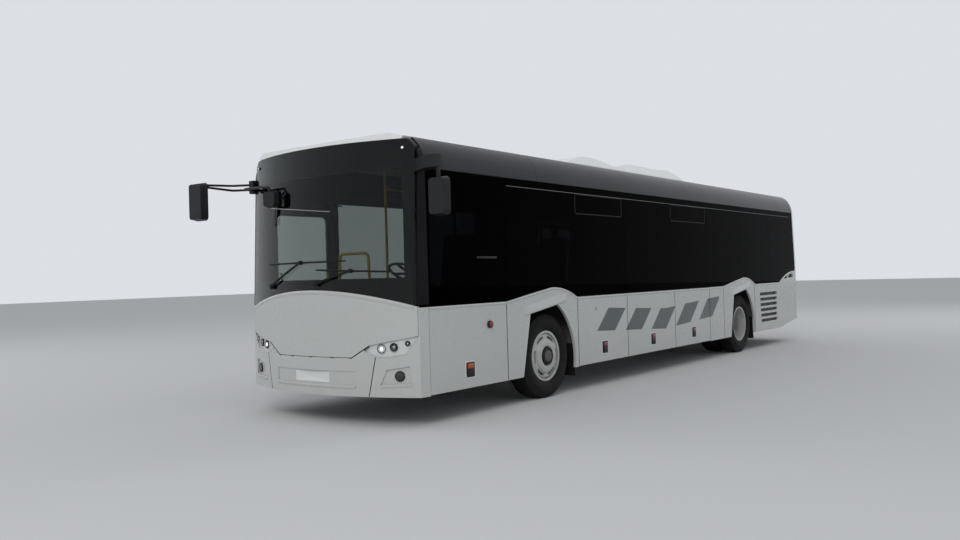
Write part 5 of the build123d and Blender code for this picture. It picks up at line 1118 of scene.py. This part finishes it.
# A dark rubber line on the rear edge of each side panel, beside the gap to the next.
panelSeams = {
    "foot": 0.322, "below": 0.033, "half": 0.0045,
    "section": ((-0.0035, -0.0005), (-0.0035, 0.0008), (0.0035, 0.0008), (0.0035, -0.0005)),
}
seamLines = {}
for side, runs in beltRuns.items():
    for bodyName, start, end in runs[:-1]:
        x = station(end) + panelSeams["half"]
        path = [(x, beltHeight(x) - panelSeams["below"]), (x, panelSeams["foot"])]
        seamLines.setdefault(bodyName, []).append(sideMoulding(path, panelSeams["section"], side))
for bodyName, shapes in seamLines.items():
    makePiece(f"panelSeams_{bodyName}", shapes, "rubberSeal", bodyName)

# Rolled lips round the wheel arches, and the brow that stands out over each.
arches = {
    "front": ((0.5734, 0.312), (0.405, 1.020)),
    "top": ((0.405, 1.020), (-0.185, 1.105)),
    "rear": ((-0.185, 1.105), (-0.440, 0.860), (-0.535, 0.200)),
    "foot": 0.312,
    "lip": ((0, -0.0005), (0.001, 0.0035), (0.005, 0.0055), (0.012, 0.005), (0.019, 0.002), (0.022, -0.0005)),
    "brow": ((0.534, 1.0014), (-0.393, 1.135)),
    "browSection": (
        (-0.002, -0.0005), (0.0, 0.008), (0.005, 0.0125), (0.014, 0.013), (0.035, 0.011), (0.065, 0.006),
        (0.095, 0.0015), (0.11, -0.0005),
    ),
    "browTaper": 0.45,
}
archRear = arcThrough(*arches["rear"], count=30)[1:]
archRear = archRear[archRear[:, 1] > arches["foot"]]
archPath = np.concatenate([np.linspace(*arches["front"], 10), np.linspace(*arches["top"], 10)[1:], archRear])
browPath = np.linspace(*arches["brow"], 33)
browSwell = np.sin(math.pi * np.linspace(0, 1, 33)) ** arches["browTaper"]
for pieceName, path, section, swell, smooth in (
    ("archLips", archPath, arches["lip"], 1.0, 60),
    ("archBrows", browPath, arches["browSection"], browSwell, 50),
):
    shapes = [sideMoulding(path + (axle, 0), section, side, swell=swell) for axle in axles for side in (1, -1)]
    makePiece(pieceName, shapes, "bodyWhite", smooth=smooth)

# The bonnet's rounded crown edge, a dark strip under its lip that is painted shadow, and the seams of the
# bumper.
noseTrim = {
    "crown": ((-1.208, 1.200), (0.0, 1.370), (1.208, 1.200)),
    "crownSection": (
        (0, -0.0005), (0.004, 0.004), (0.010, 0.0075), (0.016, 0.0085), (0.028, 0.006), (0.045, -0.0005),
    ),
    # a dark strip along the bonnet's lower edge, over the gap and the bumper's top edge: painted shadow of the
    # bonnet's lip
    "lipShadow": ((-0.748, 0.812), (-0.700, 0.783), (-0.600, 0.723), (-0.545, 0.690), (-0.3, 0.690), (0.0, 0.690)),
    "lipShadowSection": ((-0.001, -0.006), (-0.001, -0.0005), (0.004, 0.0009), (0.011, 0.0009), (0.013, -0.006)),
    "seam": ((0.819, 0.700), (0.7785, 0.500), (0.739, 0.304)),
    "seamSection": ((-0.0045, -0.004), (-0.0045, 0.0006), (0.0045, 0.0006), (0.0045, -0.004)),
}
crown = noseMoulding(arcThrough(*noseTrim["crown"], count=40), noseTrim["crownSection"])
makePiece("bonnetEdge", [crown], "bodyWhite", "bonnet", smooth=60)
lipShadowPath = [*noseTrim["lipShadow"], *((-y, z) for y, z in noseTrim["lipShadow"][-2::-1])]
shapes = [noseMoulding(lipShadowPath, noseTrim["lipShadowSection"])]
for side in (1, -1):
    shapes.append(noseMoulding([(side * y, z) for y, z in noseTrim["seam"]], noseTrim["seamSection"]))
# one piece: the dark seams of the bumper and the painted shadow under the bonnet's lip
makePiece("bumperSeamsAndLipShadow", shapes, "rubberSeal")

# Ledges that catch the light under the bumper's fields, and a fine lip along each headlamp's lower edge.
ledges = {
    "runs": (((-0.588, 0.405), (0.588, 0.405), (1,)), ((0.862, 0.416), (1.178, 0.435), (1, -1))),
    "section": (
        (-0.002, -0.0005), (-0.002, 0.006), (0.002, 0.0095), (0.010, 0.009), (0.030, 0.002), (0.036, -0.0005),
    ),
    "lampLow": ((0.690, 0.760), (0.812, 0.701), (0.936, 0.700), (1.126, 0.728), (1.243, 0.895)),
    "lipSection": ((-0.001, -0.0005), (0.0, 0.003), (0.003, 0.004), (0.007, 0.003), (0.009, -0.0005)),
}
ledgeShapes = []
for start, end, ledgeSides in ledges["runs"]:
    for side in ledgeSides:
        path = np.linspace(start, end, 24) * (side, 1)
        ledgeShapes.append(noseMoulding(path, ledges["section"], turn=side))
lampLow = np.array(ledges["lampLow"])
reach = np.concatenate([[0], np.cumsum(np.linalg.norm(np.diff(lampLow, axis=0), axis=1))])
lampEdge = np.stack([np.interp(np.linspace(0, reach[-1], 40), reach, lampLow[:, n]) for n in (0, 1)], -1)
for side in (1, -1):
    ledgeShapes.append(noseMoulding(lampEdge * (side, 1), ledges["lipSection"], turn=side))
makePiece("bumperLedges", ledgeShapes, "bodyWhite", smooth=60)

# Wipers: a rubber blade in its carrier and a rounded arm over the plain ones, and a domed cap on each pivot.
wipers = {
    # pivot, middle of the blade and the blade's tip
    "sweeps": (
        ((-0.680, 1.420), (-0.130, 1.662), (0.490, 1.664)),
        ((0.120, 1.440), (0.560, 1.560), (1.010, 1.540)),
    ),
    "arm": (0.028, 0.0125),
    "blade": (0.0105, 0.0098),
    "caps": (0.030, 0.018),
    "capOut": 0.0348,
    "capProfile": ((1, -0.022), (1, -0.004), (0.8, 0.003), (0.4, 0.006)),
}
steps = np.linspace(0, 1, 25)
taper = np.clip(3.2 * np.sin(math.pi * (0.04 + 0.92 * steps)), 0.35, 1.0)
wiperShapes = []
for pivot, head, tip in wipers["sweeps"]:
    heel = (2 * head[0] - tip[0], 2 * head[1] - tip[1])
    for start, end, (out, radius) in ((pivot, head, wipers["arm"]), (heel, tip, wipers["blade"])):
        y, z = np.linspace(start, end, 25).T
        path = np.stack([screenX(y, z, out), y, z], -1)
        wiperShapes.append(tubeShape(path, radius * taper, reference=forwards))
    for (y, z), cap in zip((pivot, head), wipers["caps"]):
        profile = [(cap * share, height) for share, height in wipers["capProfile"]] + [(0.0008, 0.0065)]
        at = (float(screenX(y, z, wipers["capOut"])), y, z)
        wiperShapes.append(turnedShape(at, noseNormal(y), profile, 24))
makePiece("wiperRubber", wiperShapes, "rubberSeal")

# A thin pale gutter line above the side windows, and black sheets behind the louvres: painted shade of the
# space behind their slots.
sideLines = {
    "gutter": ((4.10, 2.468), (-5.60, 2.468)),
    "gutterSection": ((-0.003, -0.0005), (-0.003, 0.0016), (0.003, 0.0016), (0.003, -0.0005)),
    "louvreShadeSheets": ((-5.478, 1.296, 0.31, 0.072), (-4.300, 0.745, 0.500, 0.310)),
    "louvreShadeY": 1.2435,
    "louvreShadeForm": (0.02, ((0, 0), (0, 0.001))),
}
gutterPath = np.linspace(*sideLines["gutter"], 40)
shapes = [sideMoulding(gutterPath, sideLines["gutterSection"], side) for side in (1, -1)]
makePiece("gutterLines", shapes, "greyPlastic")
# black sheets just inside the louvre slots: painted shade
shapes = []
for x, z, halfU, halfV in sideLines["louvreShadeSheets"]:
    for side in (1, -1):
        at = (x, side * sideLines["louvreShadeY"], z)
        shapes.append(pillowShape(at, (0, side, 0), halfU, halfV, *sideLines["louvreShadeForm"]))
makePiece("louvreShade", shapes, "blackPlastic")
print("stage: mouldings made")

# Stage, light and camera.
studio = {
    "floor": (0.60, 0.605, 0.61, 1), "rough": 0.9, "reach": 80.0, "backdrop": (0.72, 0.74, 0.775, 1),
    "soft": (0.93, 0.96, 1.0, 1), "softStrength": 0.55,
    # place, size and power of each lamp
    "lamps": {
        "keyLamp": ((19.0, 8.0, 13.0), 9.0, 1150.0),
        "fillLamp": ((10.0, -16.0, 11.0), 10.0, 480.0),
        "backLamp": ((-16.0, 6.0, 12.0), 9.0, 480.0),
    },
    "aim": (0, 0, 1),
}
corners = np.array([(-1, -1, 0), (1, -1, 0), (1, 1, 0), (-1, 1, 0)]) * studio["reach"]
studioFloor, floorMesh = newObject("studioFloor", corners, [(0, 1, 2, 3)])
floorMaterial = bpy.data.materials.new("studioFloor")
floorMaterial.use_nodes = True
floorShader = floorMaterial.node_tree.nodes["Principled BSDF"]
floorShader.inputs["Base Color"].default_value = studio["floor"]
floorShader.inputs["Roughness"].default_value = studio["rough"]
floorMesh.materials.append(floorMaterial)

world = bpy.data.worlds.new("studio")
scene.world = world
world.use_nodes = True
tree = world.node_tree
tree.nodes.clear()
ray = tree.nodes.new("ShaderNodeLightPath").outputs
seen = addMath(tree, "MAXIMUM", ray["Is Glossy Ray"], ray["Is Transmission Ray"])
seen = addMath(tree, "MAXIMUM", ray["Is Camera Ray"], seen)
soft = addNode(tree, "ShaderNodeBackground", Color=studio["soft"], Strength=studio["softStrength"]).outputs[0]
backdrop = addNode(tree, "ShaderNodeBackground", Color=studio["backdrop"], Strength=1.0).outputs[0]
mixed = addNode(tree, "ShaderNodeMixShader", i0=seen, i1=soft, i2=backdrop).outputs[0]
addNode(tree, "ShaderNodeOutputWorld", Surface=mixed)

for lampName, (place, size, power) in studio["lamps"].items():
    light = bpy.data.lights.new(lampName, "AREA")
    light.shape = "DISK"
    light.size = size
    light.energy = power
    lamp = bpy.data.objects.new(lampName, light)
    lamp.location = place
    lamp.visible_glossy = False
    lamp.visible_transmission = False
    lamp.rotation_euler = (Vector(studio["aim"]) - Vector(place)).to_track_quat("-Z", "Y").to_euler()
    scene.collection.objects.link(lamp)

view = {"place": (11.965, 6.88, 1.48), "yaw": -142.65, "pitch": 0.348, "roll": -1.608, "lens": 32.55}
yaw, pitch, roll = (math.radians(view[key]) for key in ("yaw", "pitch", "roll"))
ahead = Vector((math.cos(yaw) * math.cos(pitch), math.sin(yaw) * math.cos(pitch), math.sin(pitch)))
right = ahead.cross(Vector((0, 0, 1))).normalized()
upward = right.cross(ahead)
rolledRight = right * math.cos(roll) + upward * math.sin(roll)
rolledUp = -right * math.sin(roll) + upward * math.cos(roll)
turned = Matrix((rolledRight, rolledUp, -ahead)).transposed().to_4x4()
cameraData = bpy.data.cameras.new("photoView")
cameraData.lens = view["lens"]
cameraData.sensor_width = 36.0
cameraData.clip_end = 500.0
camera = bpy.data.objects.new("photoView", cameraData)
camera.matrix_world = Matrix.Translation(Vector(view["place"])) @ turned
scene.collection.objects.link(camera)
bpy.context.scene.camera = camera
bpy.context.scene.view_settings.view_transform = "Standard"
print("stage: studio and camera set")
